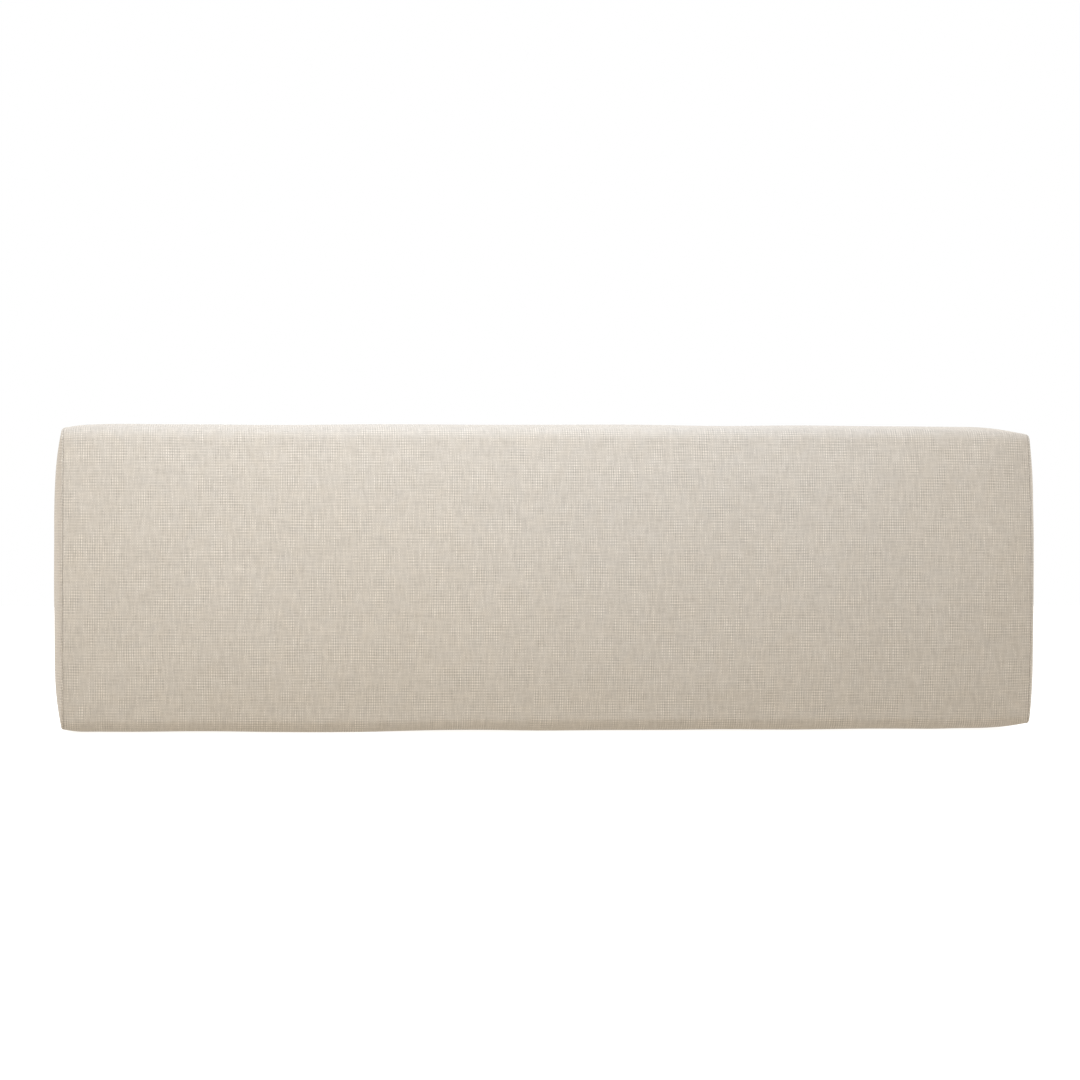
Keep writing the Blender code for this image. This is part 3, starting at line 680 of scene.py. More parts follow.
def stations(coarse):
    end = EDGE - ROLL_R
    f = 2.1 if coarse else 1.0
    half = np.concatenate(
        [spread(0.0, 0.2430, 0.0045 * f), spread(0.2430, 0.2530, 0.0012 * f), spread(0.2530, 0.296, 0.0042 * f),
         spread(0.296, end, 0.0017 * f), [end]]
    )
    return np.concatenate([-half[:0:-1], half])


def swelling():
    """How far the stuffing pushes the cover out, simulated: it starts as the straight prism that was sewn."""
    s, x = columns(True), stations(True)
    s = np.concatenate([[0.0008, 0.0062], s, [S - 0.0062, S - 0.0008]])
    y, z, ny, nz = LINE.at(s)
    inset = TAPER
    py = y - ny * inset - VALLEY * LINE.valley(s)
    pz = z - nz * inset
    rest = np.stack(
        [np.broadcast_to(x[:, None], (len(x), len(s))), np.broadcast_to(py, (len(x), len(s))),
         np.broadcast_to(pz, (len(x), len(s)))], -1
    ).reshape(-1, 3)
    faces = grid_faces(len(x), len(s))
    pin = np.zeros((len(x), len(s)))
    pin[0] = pin[-1] = 1.0
    pin[:, :2] = pin[:, -2:] = 0.8  # the zip holds its edges
    moved = inflate("wrap_trial", rest, faces, pin.ravel(), 0.0060, 1.2)
    move = (moved - rest).reshape(len(x), len(s), 3)
    out = move[..., 1] * ny + move[..., 2] * nz
    return s, x, out


def resample(table, x0, s0, x, s):
    """table on the grid (x0, s0), read at every (x, s)."""
    mid = np.stack([np.interp(s, s0, row) for row in table])
    return np.stack([np.interp(x, x0, mid[:, k]) for k in range(mid.shape[1])], 1)


def soften(table, rounds):
    for _ in range(rounds):
        padded = np.pad(table, 1, mode="edge")
        table = (padded[:-2, 1:-1] + 2 * padded[1:-1, 1:-1] + padded[2:, 1:-1]) / 4
        padded = np.pad(table, 1, mode="edge")
        table = (padded[1:-1, :-2] + 2 * padded[1:-1, 1:-1] + padded[1:-1, 2:]) / 4
    return table


def build_wrap():
    inner = columns(False)
    x_main = stations(False)
    # the rows that roll over into the end seams
    roll = np.radians([22.5, 45.0, 67.5, 90.0])
    roll_x = EDGE - ROLL_R + ROLL_R * np.sin(roll)
    roll_in = ROLL_R * (1 - np.cos(roll))
    tail_x, tail_in = np.array([EDGE - 0.0001, EDGE - 0.0004]), np.array([ROLL_R + 0.0003, ROLL_R + 0.0006])
    tail_x = np.concatenate([roll_x, tail_x])
    tail_in = np.concatenate([roll_in, tail_in])
    x = np.concatenate([-tail_x[::-1], x_main, tail_x])
    row_in = np.concatenate([tail_in[::-1], np.zeros(len(x_main)), tail_in])
    run = np.concatenate([[0], np.cumsum(np.hypot(np.diff(tail_x, prepend=tail_x[0])[1:], np.diff(tail_in)))])
    tail_u = EDGE - ROLL_R + ROLL_R * roll[0] + run
    u = np.concatenate([-tail_u[::-1], x_main, tail_u])
    # columns of the folded placket edge: under-flap, fold, then out over the face
    phi = np.radians([180.0, 150.0, 120.0, 90.0, 60.0, 30.0])
    flap = np.array([0.0075, 0.0050, 0.0028, 0.0012])
    fold_off = np.concatenate([flap + HEM_R, HEM_R - HEM_R * np.sin(phi)])
    fold_in = np.concatenate([np.full(len(flap), 2 * HEM_R), HEM_R * (1 - np.cos(phi))])
    fold_v = np.concatenate([-flap - math.pi * HEM_R, -phi * HEM_R])
    zone = np.linspace(0, 1, 9)[:-1]
    rows, cols = len(x), 2 * (len(fold_off) + len(zone)) + len(inner)
    hg = half_gap(x)
    s = np.zeros((rows, cols))
    inset = np.zeros((rows, cols))
    v = np.zeros((rows, cols))
    n = len(fold_off)
    first = hg + HEM_R
    for side in (0, 1):
        off = hg[:, None] + fold_off[None]
        zone_off = first[:, None] + (0.012 - first[:, None]) * zone[None]
        block_s = np.concatenate([off, zone_off], 1)
        block_in = np.concatenate([np.broadcast_to(fold_in, (rows, n)), np.zeros((rows, len(zone)))], 1)
        block_v = np.concatenate([first[:, None] + fold_v[None], zone_off], 1)
        w = block_s.shape[1]
        if side == 0:
            s[:, :w], inset[:, :w], v[:, :w] = block_s, block_in, block_v
        else:
            s[:, cols - w :] = S - block_s[:, ::-1]
            inset[:, cols - w :] = block_in[:, ::-1]
            v[:, cols - w :] = S - block_v[:, ::-1]
    w = n + len(zone)
    s[:, w : cols - w] = v[:, w : cols - w] = inner[None]
    y, z, ny, nz = LINE.at(s)
    ends = draw_in(x)[:, None]
    limit = np.where(x > 0, draw_in(WRAP_END), draw_in(-WRAP_END))[:, None]
    # the simulated swelling replaces the plain taper
    s0, x0, out = swelling()
    out = soften(out, 2)
    level = np.percentile(out[np.abs(x0) < 0.2][:, 8:-8], 60)
    share = np.clip(out / level, 0, 1.15)
    share = resample(share, x0, s0, x, np.clip(s[rows // 2], s0[0], s0[-1]))
    share = np.tanh(share * 1.55) / math.tanh(1.55 * 1.08)
    share *= np.where(np.abs(x) > EDGE - ROLL_R, 0.0, 1.0)[:, None]
    near = smooth((np.abs(x) - 0.255) / 0.040)[:, None]
    swell = limit * (1 - share) * near + (1 - near) * (1 - share) * 0.0009
    swell = np.clip(swell, 0, limit)
    ends = 0.4 * swell + 0.6 * np.broadcast_to(ends, swell.shape)
    last = np.abs(x) >= EDGE - ROLL_R - 1e-6
    ends[last] = np.broadcast_to(limit, ends.shape)[last]
    ends = np.broadcast_to(ends, (rows, cols)).copy()
    grid_x = np.broadcast_to(x[:, None], (rows, cols))
    where = np.stack([grid_x, y, z], -1).reshape(-1, 3)
    # soft unevenness of the filling, none at the seams
    calm = smooth((WRAP_END - np.abs(grid_x)) / 0.05) * smooth((np.minimum(s, S - s) - 0.009) / 0.03)
    uneven = (field(where, 0.145, 5, 2) * 0.00034).reshape(rows, cols) * calm
    # slight gathers that run in from the end seams and the zip
    dist_end = WRAP_END - np.abs(grid_x)
    gather = field(np.stack([s, np.sign(grid_x) * 3.0, s * 0], -1).reshape(-1, 3), 0.017, 11, 2).reshape(rows, cols)
    uneven += gather * 0.00011 * np.exp(-dist_end / 0.011) * smooth(dist_end / 0.003)
    off_zip = np.minimum(s, S - s)
    ripple = field(np.stack([grid_x, (s < S / 2) * 5.0, s * 0], -1).reshape(-1, 3), 0.012, 17, 2).reshape(rows, cols)
    uneven += ripple * 0.00016 * np.exp(-((off_zip - 0.0082) / 0.0065) ** 2) * smooth((off_zip - 0.0052) / 0.003)
    # the topstitching presses a small groove into the placket
    groove = np.exp(-(((off_zip - 0.0082) / 0.0007) ** 2)) * (np.abs(grid_x) < 0.2545)
    groove = groove * 0.00016
    # the lower front edge isn't ruler-straight where it leaves the ground
    sag = field(np.stack([grid_x, 0 * s, 0 * s], -1).reshape(-1, 3), 0.26, 29, 2).reshape(rows, cols)
    low = smooth(1 - np.abs(s - (M[5] + M[6]) / 2) / 0.040)
    low = low * (y < -0.02)
    lift = (0.00045 + 0.00045 * sag) * low * smooth((WRAP_END - np.abs(grid_x)) / 0.03)
    total = inset + ends + row_in[:, None] - uneven + groove * (inset == 0)
    py = y - ny * total - VALLEY * LINE.valley(s)
    pz = np.maximum(z - nz * total, 0.0) + np.maximum(lift, 0.0)
    verts = np.stack([grid_x, py, pz], -1).reshape(-1, 3)
    uv = np.stack([np.broadcast_to(u[:, None], (rows, cols)), v, 0 * v], -1).reshape(-1, 3)
    obj = new_object("linen_wrap", verts, grid_faces(rows, cols), uv)
    thicken(obj, COVER_T)
    return obj


# ------------------------------------------------------------------ linen end panels
def end_outline(count_scale=1.0):
    """Arc lengths round the section for the end panels."""
    parts = []
    marks = [0.0, *M[1:8], M[8], S]
    steps = (0.0042, 0.0014, 0.0045, 0.0014, 0.0040, 0.0014, 0.0045, 0.0014, 0.0042)
    for a, b, step in zip(marks, marks[1:], steps):
        parts.append(spread(a, b, step * count_scale))
    return np.concatenate(parts)


def build_end(name, side, seed):
    s = end_outline()
    y, z, ny, nz = LINE.at(s)
    rim = float(draw_in(side * WRAP_END)) + 0.0001  # the panel's rim lies flush with the wrap's
    cy, cz = 0.0, MID_Z

    def ring(inset):
        return y - ny * inset - VALLEY * LINE.valley(s), z - nz * inset

    # rings from the middle out: share of the way from the centre, then the roll into the seam, then the allowance
    shares = np.concatenate([np.linspace(0.04, 0.80, 20), np.linspace(0.83, 1.0, 10)])
    edge_y, edge_z = ring(rim + RIM_R)
    rows_x, rows_y, rows_z = [], [], []
    base = SEAM_X + ROLL_R + RIM_R
    bulge = 0.330 - base
    for share in shares:
        rows_y.append(cy + (edge_y - cy) * share)
        rows_z.append(cz + (edge_z - cz) * share)
        rows_x.append(np.full(len(s), base + bulge * (1 - share**4.2)))
    grid = np.stack([np.array(rows_x), np.array(rows_y), np.array(rows_z)], -1)
    # the panel starts flat and is blown out from inside; its dome keeps the frame's height
    flat = grid.copy()
    flat[..., 0] = base
    coarse = np.concatenate([np.arange(0, len(shares), 2), [len(shares) - 1]])
    pts = np.concatenate([flat[coarse].reshape(-1, 3), [[base, cy, cz]]])
    n = len(s)
    body = grid_faces(len(coarse), n, closed=True)
    centre = len(pts) - 1
    fan = np.stack([np.arange(n), (np.arange(n) + 1) % n, np.full(n, centre)], -1)
    pin = np.zeros(len(pts))
    pin[(len(coarse) - 1) * n : len(coarse) * n] = 1.0
    moved = inflate(f"{name}_trial", pts, [body, fan], pin, 0.02, 1.0, frames=12)
    rise = np.abs(moved[:-1, 0] - base).reshape(len(coarse), n)
    rise = rise / max(rise.max(), 1e-6)
    rise = np.tanh(rise * 1.5) / math.tanh(1.5)
    full = np.stack([np.interp(shares, shares[coarse], rise[:, k]) for k in range(n)], 1)
    full[-1] = 0
    dome = (1 - shares**4.2)[:, None]
    grid[..., 0] = base + bulge * (0.5 * dome + 0.5 * np.minimum(full, 1))
    flatten = grid.reshape(-1, 3)
    calm = np.repeat(1 - smooth((shares - 0.72) / 0.28), len(s))
    grid[..., 0] += (field(flatten, 0.085, seed, 2) * 0.00028 * calm).reshape(grid.shape[:2])
    rib = field(np.stack([s, 0 * s, 0 * s], -1), 0.016, seed + 3, 2)
    grid[..., 0] += (rib[None] * 0.00010 * np.exp(-(((1 - shares) * 0.085 - 0.004) / 0.006) ** 2)[:, None])
    extra = []
    uv_rows = [np.stack([grid[k, :, 1], grid[k, :, 2]], -1) for k in range(len(shares))]
    roll = np.radians([22.5, 45.0, 67.5, 90.0])
    path = [(base - RIM_R * (1 - math.cos(t)), rim + RIM_R * (1 - math.sin(t))) for t in roll]
    path += [(SEAM_X + ROLL_R * (1 - math.sin(t)), rim + ROLL_R * (1 - math.cos(t))) for t in roll]
    path += [(SEAM_X, rim + 0.0012)]
    path += [(ax, float(draw_in(side * ax)) + 0.0018) for ax in (0.3217, 0.3190, 0.3160, 0.3128)]
    for ax, inset in path:
        ry, rz = ring(inset)
        extra.append(np.stack([np.full(len(s), ax), ry, rz], -1))
    last = uv_rows[-1]
    travel = 0.0
    before = grid[-1]
    for row in extra:
        travel += float(np.linalg.norm(row - before, axis=1).mean())
        before = row
        uv_rows.append(last + np.stack([ny, nz], -1) * travel)
    rows = np.concatenate([grid, np.array(extra)])
    rows[..., 0] *= side
    pts = np.concatenate([rows.reshape(-1, 3), [[side * grid[0, :, 0].max(), cy, cz]]])
    uv = np.concatenate([np.array(uv_rows).reshape(-1, 2), [[cy, cz]]])
    uv = np.concatenate([uv, np.zeros((len(uv), 1))], 1)
    n = len(s)
    body = grid_faces(len(rows), n, closed=True)
    fan = np.stack([np.arange(n), (np.arange(n) + 1) % n, np.full(n, len(pts) - 1)], -1)
    if side > 0:
        body = body[:, ::-1]
    else:
        fan = fan[:, ::-1]
    obj = new_object(name, pts, [body, fan], uv)
    thicken(obj, COVER_T)
    return obj


wrap = place(build_wrap(), "cushion", linen, "linen", "cover_wrap")
end_left = place(build_end("linen_end_left", -1, 41), "cushion", linen, "linen", "cover_end_left")
end_right = place(build_end("linen_end_right", 1, 47), "cushion", linen, "linen", "cover_end_right")


# ------------------------------------------------------------------ seams
def ring_line(x, inset, step=0.0008):
    s = np.arange(0.0012, S - 0.0012, step)
    y, z, ny, nz = LINE.at(s)
    line = np.stack([np.full(len(s), x), y - ny * inset - VALLEY * LINE.valley(s), z - nz * inset], -1)
    return line, np.stack([0 * s, ny, nz], -1)


for name, side in (("left", -1), ("right", 1)):
    line, normal = ring_line(side * 0.3224, float(draw_in(side * WRAP_END)) + 0.00085)
    seam = stitches(f"end_seam_{name}", line, normal, 0.0030, 0.0022, 0.00025, seed=50 + side)
    place(seam, "cushion", thread_material, "sewing_thread", f"end_seam_thread_{name}")
    x = np.linspace(SLOT_L + 0.0045, WRAP_END - 0.0020, 90)
    line = np.stack([side * x, ZIP_Y - 0.00045 - draw_in(side * x), np.full(len(x), MID_Z)], -1)
    seam = stitches(f"back_seam_{name}", line, np.tile([0.0, 1.0, 0.0], (len(x), 1)), 0.0030, 0.0022, 0.00025, seed=60 + side)
    place(seam, "cushion", thread_material, "sewing_thread", f"back_seam_thread_{name}")

half_w, half_l, turn = 0.0082, 0.2545, 0.0012
loop = []
for side_x, side_z, start in ((1, 1, 0.0), (-1, 1, 90.0), (-1, -1, 180.0), (1, -1, 270.0)):
    for step in range(5):
        angle = math.radians(start + 22.5 * step)
        loop.append((side_x * (half_l - turn) + turn * math.cos(angle), side_z * (half_w - turn) + turn * math.sin(angle)))
loop.append(loop[0])
loop = np.array(loop)
dist = np.concatenate([[0], np.cumsum(np.linalg.norm(np.diff(loop, axis=0), axis=1))])
at = np.arange(0, dist[-1], 0.0007)
lx, lz = np.interp(at, dist, loop[:, 0]), np.interp(at, dist, loop[:, 1])
ly = BACK[0] + np.sqrt(FACE_R**2 - lz**2) - VALLEY + 0.00012
line = np.stack([lx, ly, MID_Z + lz], -1)
top_stitch = stitches("zip_topstitch", line, np.tile([0.0, 1.0, 0.0], (len(lx), 1)), 0.0030, 0.0026, 0.00025, sink=0.7)
place(top_stitch, "cushion", thread_material, "sewing_thread", "zip_topstitching")


# ------------------------------------------------------------------ zip
def tape(name, side):
    """Woven strip with a thicker corded edge beside the coil."""
    z = np.array([0.0011, 0.0013, 0.0017, 0.0022, 0.0026, 0.0032, 0.0060, 0.0090, 0.0120, 0.0144, 0.0149, 0.0151])
    high = np.array([-0.0002, 0.0, 0.00004, 0.00004, 0.0, -0.00005, -0.00005, -0.00005, -0.00005, -0.00005, -0.0001, -0.00025])
    low = np.array([-0.0004, -0.00055, -0.0006, -0.0006, -0.0006, -0.00055, -0.00055, -0.00055, -0.00055, -0.00055, -0.0005, -0.00035])
    profile = np.concatenate([np.stack([high, z], -1), np.stack([low, z], -1)[::-1]])
    x = np.concatenate([[-0.262, -0.2618], np.arange(-0.260, 0.2601, 0.004), [0.2618, 0.262]])
    wave = field(np.stack([x, 0 * x + side, 0 * x], -1), 0.05, 71, 2) * 0.00006
    edge = np.ones(len(x))
    edge[0] = edge[-1] = 0.55
    mid = -0.0003
    rows = np.stack(
        [np.broadcast_to(x[:, None], (len(x), len(profile))),
         TAPE_TOP + mid + (profile[None, :, 0] - mid) * edge[:, None] + np.minimum(wave, 0)[:, None],
         MID_Z + side * np.broadcast_to(profile[None, :, 1], (len(x), len(profile)))], -1
    )
    n = len(profile)
    caps = [np.arange(n)[None], ((len(x) - 1) * n + np.arange(n))[None]]
    obj = new_object(name, rows.reshape(-1, 3), [grid_faces(len(x), n, closed=True), *caps])
    outward(obj)
    return obj


def coil(name, side, phase):
    """One side of the chain: a monofilament wound in flattened turns whose heads hook past the middle."""
    pitch, per_turn = 0.00125, 14
    start, stop = -0.2418, 0.2340
    turns = int((stop - start) / pitch)
    t = np.linspace(0, turns, turns * per_turn + 1)
    a = 2 * math.pi * (t + phase)
    c, q = np.cos(a), np.sin(a)
    # a flattened loop: straight legs above and below, round head and heel, with the head swollen a little
    z = 0.00172 + 0.00112 * np.sign(c) * np.abs(c) ** 0.75
    y = ZIP_Y - 0.00078 + 0.00072 * np.sign(q) * np.abs(q) ** 0.75
    x = start + pitch * t
    path = np.stack([x, y, MID_Z + side * z], -1)
    radius = 0.00030 + 0.00006 * smooth((-c - 0.75) / 0.25)
    return tubes(name, path[None], radius[None], np.array([1.0, 0.0, 0.0]), sides=6)


for label, side, phase in (("upper", 1, 0.0), ("lower", -1, 0.5)):
    place(tape(f"tape_{label}", side), "cushion", tape_material, "zip_tape", f"zip_tape_{label}")
    place(coil(f"coil_{label}", side, phase), "cushion", coil_material, "zip_coil", f"zip_coil_{label}")

for name in ("zip_slider", "zip_pull", "zip_top_stop_upper", "zip_top_stop_lower", "zip_bottom_stop"):
    node = frame["nodes"][name]
    node.data.materials.clear()
    node.data.materials.append(metal_material)
    if name in ("zip_slider", "zip_pull"):
        rounding = node.modifiers.new("rounding", "BEVEL")
        rounding.width, rounding.segments = 0.00016, 2
        rounding.limit_method, rounding.angle_limit = "ANGLE", math.radians(30)
        rounding.use_clamp_overlap = True
        node.data.shade_smooth()
        node.data.set_sharp_from_angle(angle=math.radians(50))


# ------------------------------------------------------------------ liner, fibre and foam
LINER_VALLEY = VALLEY + 0.0012


def shell_columns(gap):
    s = end_outline(1.9)
    return np.concatenate([[gap, 0.006], s[s > 0.008], [S - 0.006, S - gap]]) if gap else s


def build_liner():
    """Cotton liner panel, its edges closed at the back, with the small puckers of a quick seam."""
    s = shell_columns(0.00055)
    s = s[(s < S - 0.008) | (s >= S - 0.0061)]
    x = np.concatenate([[-0.3195], np.arange(-0.316, 0.3161, 0.008), [0.3195]])
    y, z, ny, nz = LINE.at(s)
    g = np.broadcast_to(x[:, None], (len(x), len(s)))
    sg = np.broadcast_to(s, g.shape)
    where = np.stack([g, np.broadcast_to(y, g.shape), np.broadcast_to(z, g.shape)], -1).reshape(-1, 3)
    dent = (0.5 + 0.5 * field(where, 0.07, 81, 2)).reshape(g.shape) * 0.00035
    pucker = (0.5 + 0.5 * field(np.stack([g, 0 * g, 0 * g], -1).reshape(-1, 3), 0.014, 83, 1)).reshape(g.shape)
    dent = dent + pucker * 0.0003 * np.exp(-np.minimum(sg, S - sg) / 0.008)
    inset = 0.0032 + taper(x)[:, None] + dent
    verts = np.stack([g, y - ny * inset - LINER_VALLEY * LINE.valley(s), z - nz * inset], -1).reshape(-1, 3)
    uv = np.stack([g, sg, 0 * g], -1).reshape(-1, 3)
    obj = new_object("liner_panel", verts, grid_faces(len(x), len(s)), uv)
    thicken(obj, 0.00055)
    return obj


def domed_skin(name, side, rim_x, bulge, inset, thickness, seed, skirt=None, bump=0.00025):
    """A crowned end piece: a thin skin, or a solid pad where skirt gives its flat inner side."""
    s = end_outline(1.9)
    y, z, ny, nz = LINE.at(s)
    ey, ez = y - ny * inset - LINER_VALLEY * LINE.valley(s), z - nz * inset
    shares = np.concatenate([np.linspace(0.06, 0.85, 12), [0.92, 0.97, 1.0]])
    rows = []
    for share in shares:
        rows.append(
            np.stack([np.full(len(s), rim_x + bulge * (1 - share**4)), ey * share, MID_Z + (ez - MID_Z) * share], -1)
        )
    rows = np.array(rows)
    sunk = 0.5 + 0.5 * field(rows.reshape(-1, 3), 0.05, seed, 2)
    rows[..., 0] -= sunk.reshape(rows.shape[:2]) * bump * (1 - shares[:, None] ** 8)
    uv = rows[..., 1:].reshape(-1, 2)
    n = len(s)
    if skirt is not None:
        flat = rows[::-1].copy()
        flat[..., 0] = skirt
        rows = np.concatenate([rows, flat])
        uv = np.concatenate([uv, flat[..., 1:].reshape(-1, 2)])
    tips = [[rows[0, :, 0].max(), 0.0, MID_Z]] + ([[skirt, 0.0, MID_Z]] if skirt is not None else [])
    rows[..., 0] *= side
    tips = np.array(tips) * [side, 1, 1]
    pts = np.concatenate([rows.reshape(-1, 3), tips])
    uv = np.concatenate([uv, tips[:, 1:]])
    uv = np.concatenate([uv, np.zeros((len(uv), 1))], 1)
    body = grid_faces(len(rows), n, closed=True)
    k = len(rows) * n
    fans = [np.stack([np.arange(n), (np.arange(n) + 1) % n, np.full(n, k)], -1)]
    if skirt is not None:
        ring = (len(rows) - 1) * n
        fans.append(np.stack([ring + (np.arange(n) + 1) % n, ring + np.arange(n), np.full(n, k + 1)], -1))
    obj = new_object(name, pts, [body, *fans], uv)
    outward(obj)
    if skirt is None:
        top = obj.data.polygons[0]
        if top.normal.x * side < 0:
            obj.data.flip_normals()
        thicken(obj, thickness)
    return obj


def build_fibre():
    """Batting wrapped round the foam: a lumpy outer skin and a smooth inner one, joined at both ends."""
    s = end_outline(1.6)
    x = np.concatenate([[-0.3125], np.arange(-0.308, 0.3081, 0.007), [0.3125]])
    y, z, ny, nz = LINE.at(s)
    g = np.broadcast_to(x[:, None], (len(x), len(s)))
    where = np.stack([g, np.broadcast_to(y, g.shape), np.broadcast_to(z, g.shape)], -1).reshape(-1, 3)
    lump = (0.5 + 0.5 * field(where, 0.035, 91, 3)).reshape(g.shape) * 0.0009
    inset = 0.0044 + taper(x)[:, None] + lump + 0.0006 * smooth((np.abs(g) - 0.306) / 0.0065)
    outer = np.stack([g, y - ny * inset - LINER_VALLEY * LINE.valley(s), z - nz * inset], -1)
    # the inner skin follows the foam block's outline
    hy, z0, z1, r = 0.0504, 0.0156, 0.1864, 0.003
    cy, cz = 0.0, (z0 + z1) / 2
    dy, dz = (y - cy) / (DEPTH / 2), (z - cz) / (HEIGHT / 2)
    scale = 1.0 / np.maximum(np.abs(dy), np.abs(dz))
    iy, iz = cy + dy * scale * hy, cz + dz * scale * (z1 - z0) / 2
    inner = np.stack([g, np.broadcast_to(iy, g.shape), np.broadcast_to(iz, g.shape)], -1)
    n, rows = len(s), len(x)
    pts = np.concatenate([outer.reshape(-1, 3), inner.reshape(-1, 3)])
    a, b = grid_faces(rows, n, closed=True), grid_faces(rows, n, closed=True)[:, ::-1] + rows * n
    i = np.arange(n)
    j = (i + 1) % n
    k = rows * n
    start = np.stack([i, i + k, j + k, j], -1)
    last = (rows - 1) * n
    stop = np.stack([j + last, j + last + k, i + last + k, i + last], -1)
    obj = new_object("batting_wrap", pts, [a, b, start, stop])
    return outward(obj)


def build_foam():
    """Cut foam block: slightly soft edges, and the faint waviness that a foam saw leaves."""
    import bmesh

    bm = bmesh.new()
    bmesh.ops.create_cube(bm, size=1.0)
    lo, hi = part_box("foam_core")
    for vert in bm.verts:
        for k in range(3):
            vert.co[k] = lo[k] if vert.co[k] < 0 else hi[k]
    bmesh.ops.bevel(bm, geom=bm.edges[:], offset=0.003, segments=3, profile=0.5, affect="EDGES")
    long_edges = [e for e in bm.edges if e.calc_length() > 0.05]
    for cuts, axis in ((60, 0), (9, 1), (15, 2)):
        edges = [
            e for e in bm.edges
            if e.calc_length() > 0.02 and abs((e.verts[0].co - e.verts[1].co).normalized()[axis]) > 0.99
        ]
        bmesh.ops.subdivide_edges(bm, edges=edges, cuts=cuts, use_grid_fill=True)
    co = np.array([v.co for v in bm.verts])
    bm.normal_update()
    normal = np.array([v.normal for v in bm.verts])
    wave = (0.5 + 0.5 * field(co, 0.022, 97, 2)) * 0.00025
    co = co - normal * wave[:, None]
    for v, p in zip(bm.verts, co):
        v.co = p
    mesh = bpy.data.meshes.new("foam_block")
    bm.to_mesh(mesh)
    bm.free()
    mesh.shade_smooth()
    obj = bpy.data.objects.new("foam_block", mesh)
    bpy.context.scene.collection.objects.link(obj)
    return obj


place(build_liner(), "cushion", lining, "liner_cotton", "liner_wrap")
place(build_fibre(), "cushion", fibre_material, "polyester_fibre", "fibre_wrap")
place(build_foam(), "cushion", foam_material, "upholstery_foam", "foam_core")
for name, side in (("left", -1), ("right", 1)):
    skin = domed_skin(f"liner_cap_{name}", side, 0.3215, 0.0058, 0.0032 + TAPER, 0.00055, 101 + side)
    place(skin, "cushion", lining, "liner_cotton", f"liner_end_{name}")
    pad = domed_skin(
        f"batting_pad_{name}", side, 0.3185, 0.0060, 0.0044 + TAPER, 0.0, 111 + side, skirt=0.3129, bump=0.0008
    )
    place(pad, "cushion", fibre_material, "polyester_fibre", f"fibre_end_pad_{name}")
    line, normal = ring_line(side * (0.3195 + 0.3215 - 0.0008) / 2, 0.0036 + TAPER)
    line[:, 1] -= 0.0012 * LINE.valley(np.arange(0.0012, S - 0.0012, 0.0008))
    seam = stitches(f"liner_seam_{name}", line, normal, 0.0030, 0.0022, 0.00022, seed=120 + side)
    place(seam, "cushion", thread_material, "sewing_thread", f"liner_end_thread_{name}")
x = np.linspace(-0.3175, 0.3175, 500)
y = BACK[0] + FACE_R - LINER_VALLEY - 0.0036 - taper(x)
line = np.stack([x, y, np.full(len(x), MID_Z)], -1)
seam = stitches("liner_seam_back", line, np.tile([0.0, 1.0, 0.0], (len(x), 1)), 0.0030, 0.0022, 0.00022, seed=131)
place(seam, "cushion", thread_material, "sewing_thread", "liner_seam_thread")


# ------------------------------------------------------------------ floor, light and camera
def stage():
    floor = new_object(
        "studio_floor",
        [(-6, -6, -0.0004), (6, -6, -0.0004), (6, 6, -0.0004), (-6, 6, -0.0004)],
        np.array([[0, 1, 2, 3]]),
    )
    k = Look("floor_paper")
    grain = k.noise(k.position(), 60.0, 2.0)
    paper = k.finish(rgb(0.62, 0.615, 0.61), k.m("MULTIPLY_ADD", grain, 0.05, 0.9), Specular_IOR_Level=0.0)
    # the table under the paper glows, as a light table does, so the shadow on it stays faint
    k.shader.inputs["Emission Color"].default_value = rgb(1, 1, 1)
    k.shader.inputs["Emission Strength"].default_value = 0.80
    paper.cycles.emission_sampling = "NONE"
    floor.data.materials.append(paper)
    floor.visible_diffuse = floor.visible_glossy = False


def world():
    """White to the camera; for light, dim in front and bright behind, like a lit backdrop."""
    w = bpy.data.worlds.new("studio")
    bpy.context.scene.world = w
    w.use_nodes = True
    t = w.node_tree
    t.nodes.clear()
    out = t.nodes.new("ShaderNodeOutputWorld")
    mix = t.nodes.new("ShaderNodeMixShader")
    seen = t.nodes.new("ShaderNodeBackground")
    lit = t.nodes.new("ShaderNodeBackground")
    path = t.nodes.new("ShaderNodeLightPath")
    seen.inputs[0].default_value = rgb(1, 1, 1)
    seen.inputs[1].default_value = 1.0
    where = t.nodes.new("ShaderNodeTexCoord")
    split = t.nodes.new("ShaderNodeSeparateXYZ")
    t.links.new(where.outputs["Generated"], split.inputs[0])
    total = None
    for axis, sign, colour in WORLD_PARTS:
        ramp = t.nodes.new("ShaderNodeMapRange")
        t.links.new(split.outputs[axis], ramp.inputs[0])
        for value, socket in zip((-0.5 * sign, 0.9 * sign, 0.0, 1.0), list(ramp.inputs)[1:5]):
            socket.default_value = value
        part = t.nodes.new("ShaderNodeVectorMath")
        part.operation = "SCALE"
        part.inputs[0].default_value = colour
        t.links.new(ramp.outputs[0], part.inputs["Scale"])
        if total is None:
            total = part.outputs[0]
            continue
        plus = t.nodes.new("ShaderNodeVectorMath")
        plus.operation = "ADD"
        t.links.new(total, plus.inputs[0])
        t.links.new(part.outputs[0], plus.inputs[1])
        total = plus.outputs[0]
    t.links.new(total, lit.inputs[0])
    lit.inputs[1].default_value = 1.0
    t.links.new(path.outputs["Is Camera Ray"], mix.inputs[0])
    t.links.new(lit.outputs[0], mix.inputs[1])
    t.links.new(seen.outputs[0], mix.inputs[2])
    t.links.new(mix.outputs[0], out.inputs[0])


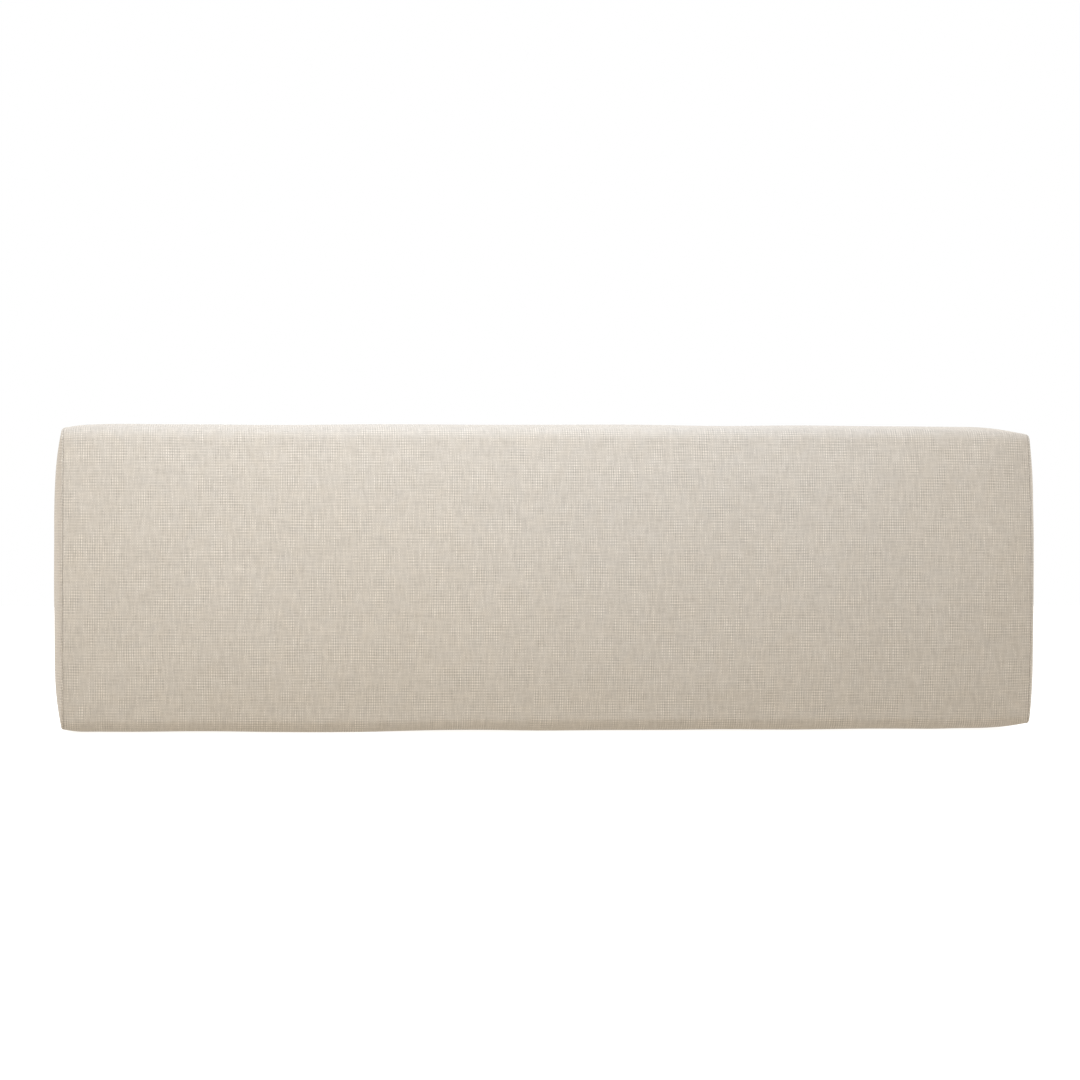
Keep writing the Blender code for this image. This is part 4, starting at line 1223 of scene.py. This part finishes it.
def sun(name, strength, angle, azimuth, elevation, colour=(1, 1, 1)):
    """A broad soft light from a direction: azimuth 0 is in front (-Y), positive towards +X."""
    light = bpy.data.lights.new(name, "SUN")
    light.energy, light.angle, light.color = strength, math.radians(angle), colour
    obj = bpy.data.objects.new(name, light)
    a, e = math.radians(azimuth), math.radians(elevation)
    towards = Vector((math.sin(a) * math.cos(e), -math.cos(a) * math.cos(e), math.sin(e)))
    obj.rotation_euler = towards.to_track_quat("Z", "Y").to_euler()
    obj.location = towards * 4
    bpy.context.scene.collection.objects.link(obj)


def spot(name, power, at, target, cone, colour=(1, 1, 1)):
    """A soft-edged lamp at a point, facing another."""
    light = bpy.data.lights.new(name, "SPOT")
    light.energy, light.color = power, colour
    light.spot_size, light.spot_blend, light.shadow_soft_size = math.radians(cone), 1.0, 0.12
    obj = bpy.data.objects.new(name, light)
    at, target = Vector(at), Vector(target)
    obj.location = at
    obj.rotation_mode = "QUATERNION"
    obj.rotation_quaternion = (at - target).to_track_quat("Z", "Y")
    bpy.context.scene.collection.objects.link(obj)


# the room's light, each part growing towards one side: (axis, direction, colour)
WORLD_PARTS = (
    (1, -1, (0.800, 0.740, 0.635)),
    (1, 1, (0.900, 0.830, 0.730)),
    (0, 1, (0.180, 0.170, 0.155)),
    (0, -1, (0.300, 0.275, 0.250)),
    (2, 1, (0.03, 0.09, 0.20)),
)
stage()
world()
sun("overhead", 0.64, 40, 8, 80, (0.96, 0.98, 1.0))
spot("top_box", 19.5, (-0.06, -0.5, 0.9), (-0.05, 0.0, 0.2), 72, (0.76, 0.86, 1.0))
# low behind each end, so that the ends' rims are paler than the face
spot("rim_right", 8.0, (0.85, 0.32, 0.35), (0.33, 0.0, 0.10), 50, (1.0, 0.97, 0.92))
spot("rim_left", 3.6, (-0.85, 0.32, 0.35), (-0.33, 0.0, 0.10), 50, (1.0, 0.97, 0.92))
spot("front_box", 3.2, (-0.38, -0.8, 0.35), (-0.24, 0.0, 0.04), 60, (1.0, 0.96, 0.86))

scene = bpy.context.scene
scene.view_settings.view_transform = "Standard"
scene.view_settings.look = "None"
scene.view_settings.exposure = 0.0
scene.view_settings.gamma = 1.0

camera = bpy.data.cameras.new("camera")
camera.sensor_width = 36.0
camera.clip_start, camera.clip_end = 0.05, 60.0
rig = bpy.data.objects.new("camera", camera)
scene.collection.objects.link(rig)
scene.camera = rig
DISTANCE, YAW, EYE_Z = 2.70, -4.6, 0.120
yaw = math.radians(YAW)
eye = Vector((math.sin(yaw) * DISTANCE, -math.cos(yaw) * DISTANCE, EYE_Z))
camera.lens = 36.0 * DISTANCE / 0.7362
# the point that the frame's middle looks at
aim = Vector((-0.0021, 0.0, MID_Z + 0.0250))
rig.location = eye
rig.rotation_mode = "QUATERNION"
rig.rotation_quaternion = (eye - aim).to_track_quat("Z", "Y")
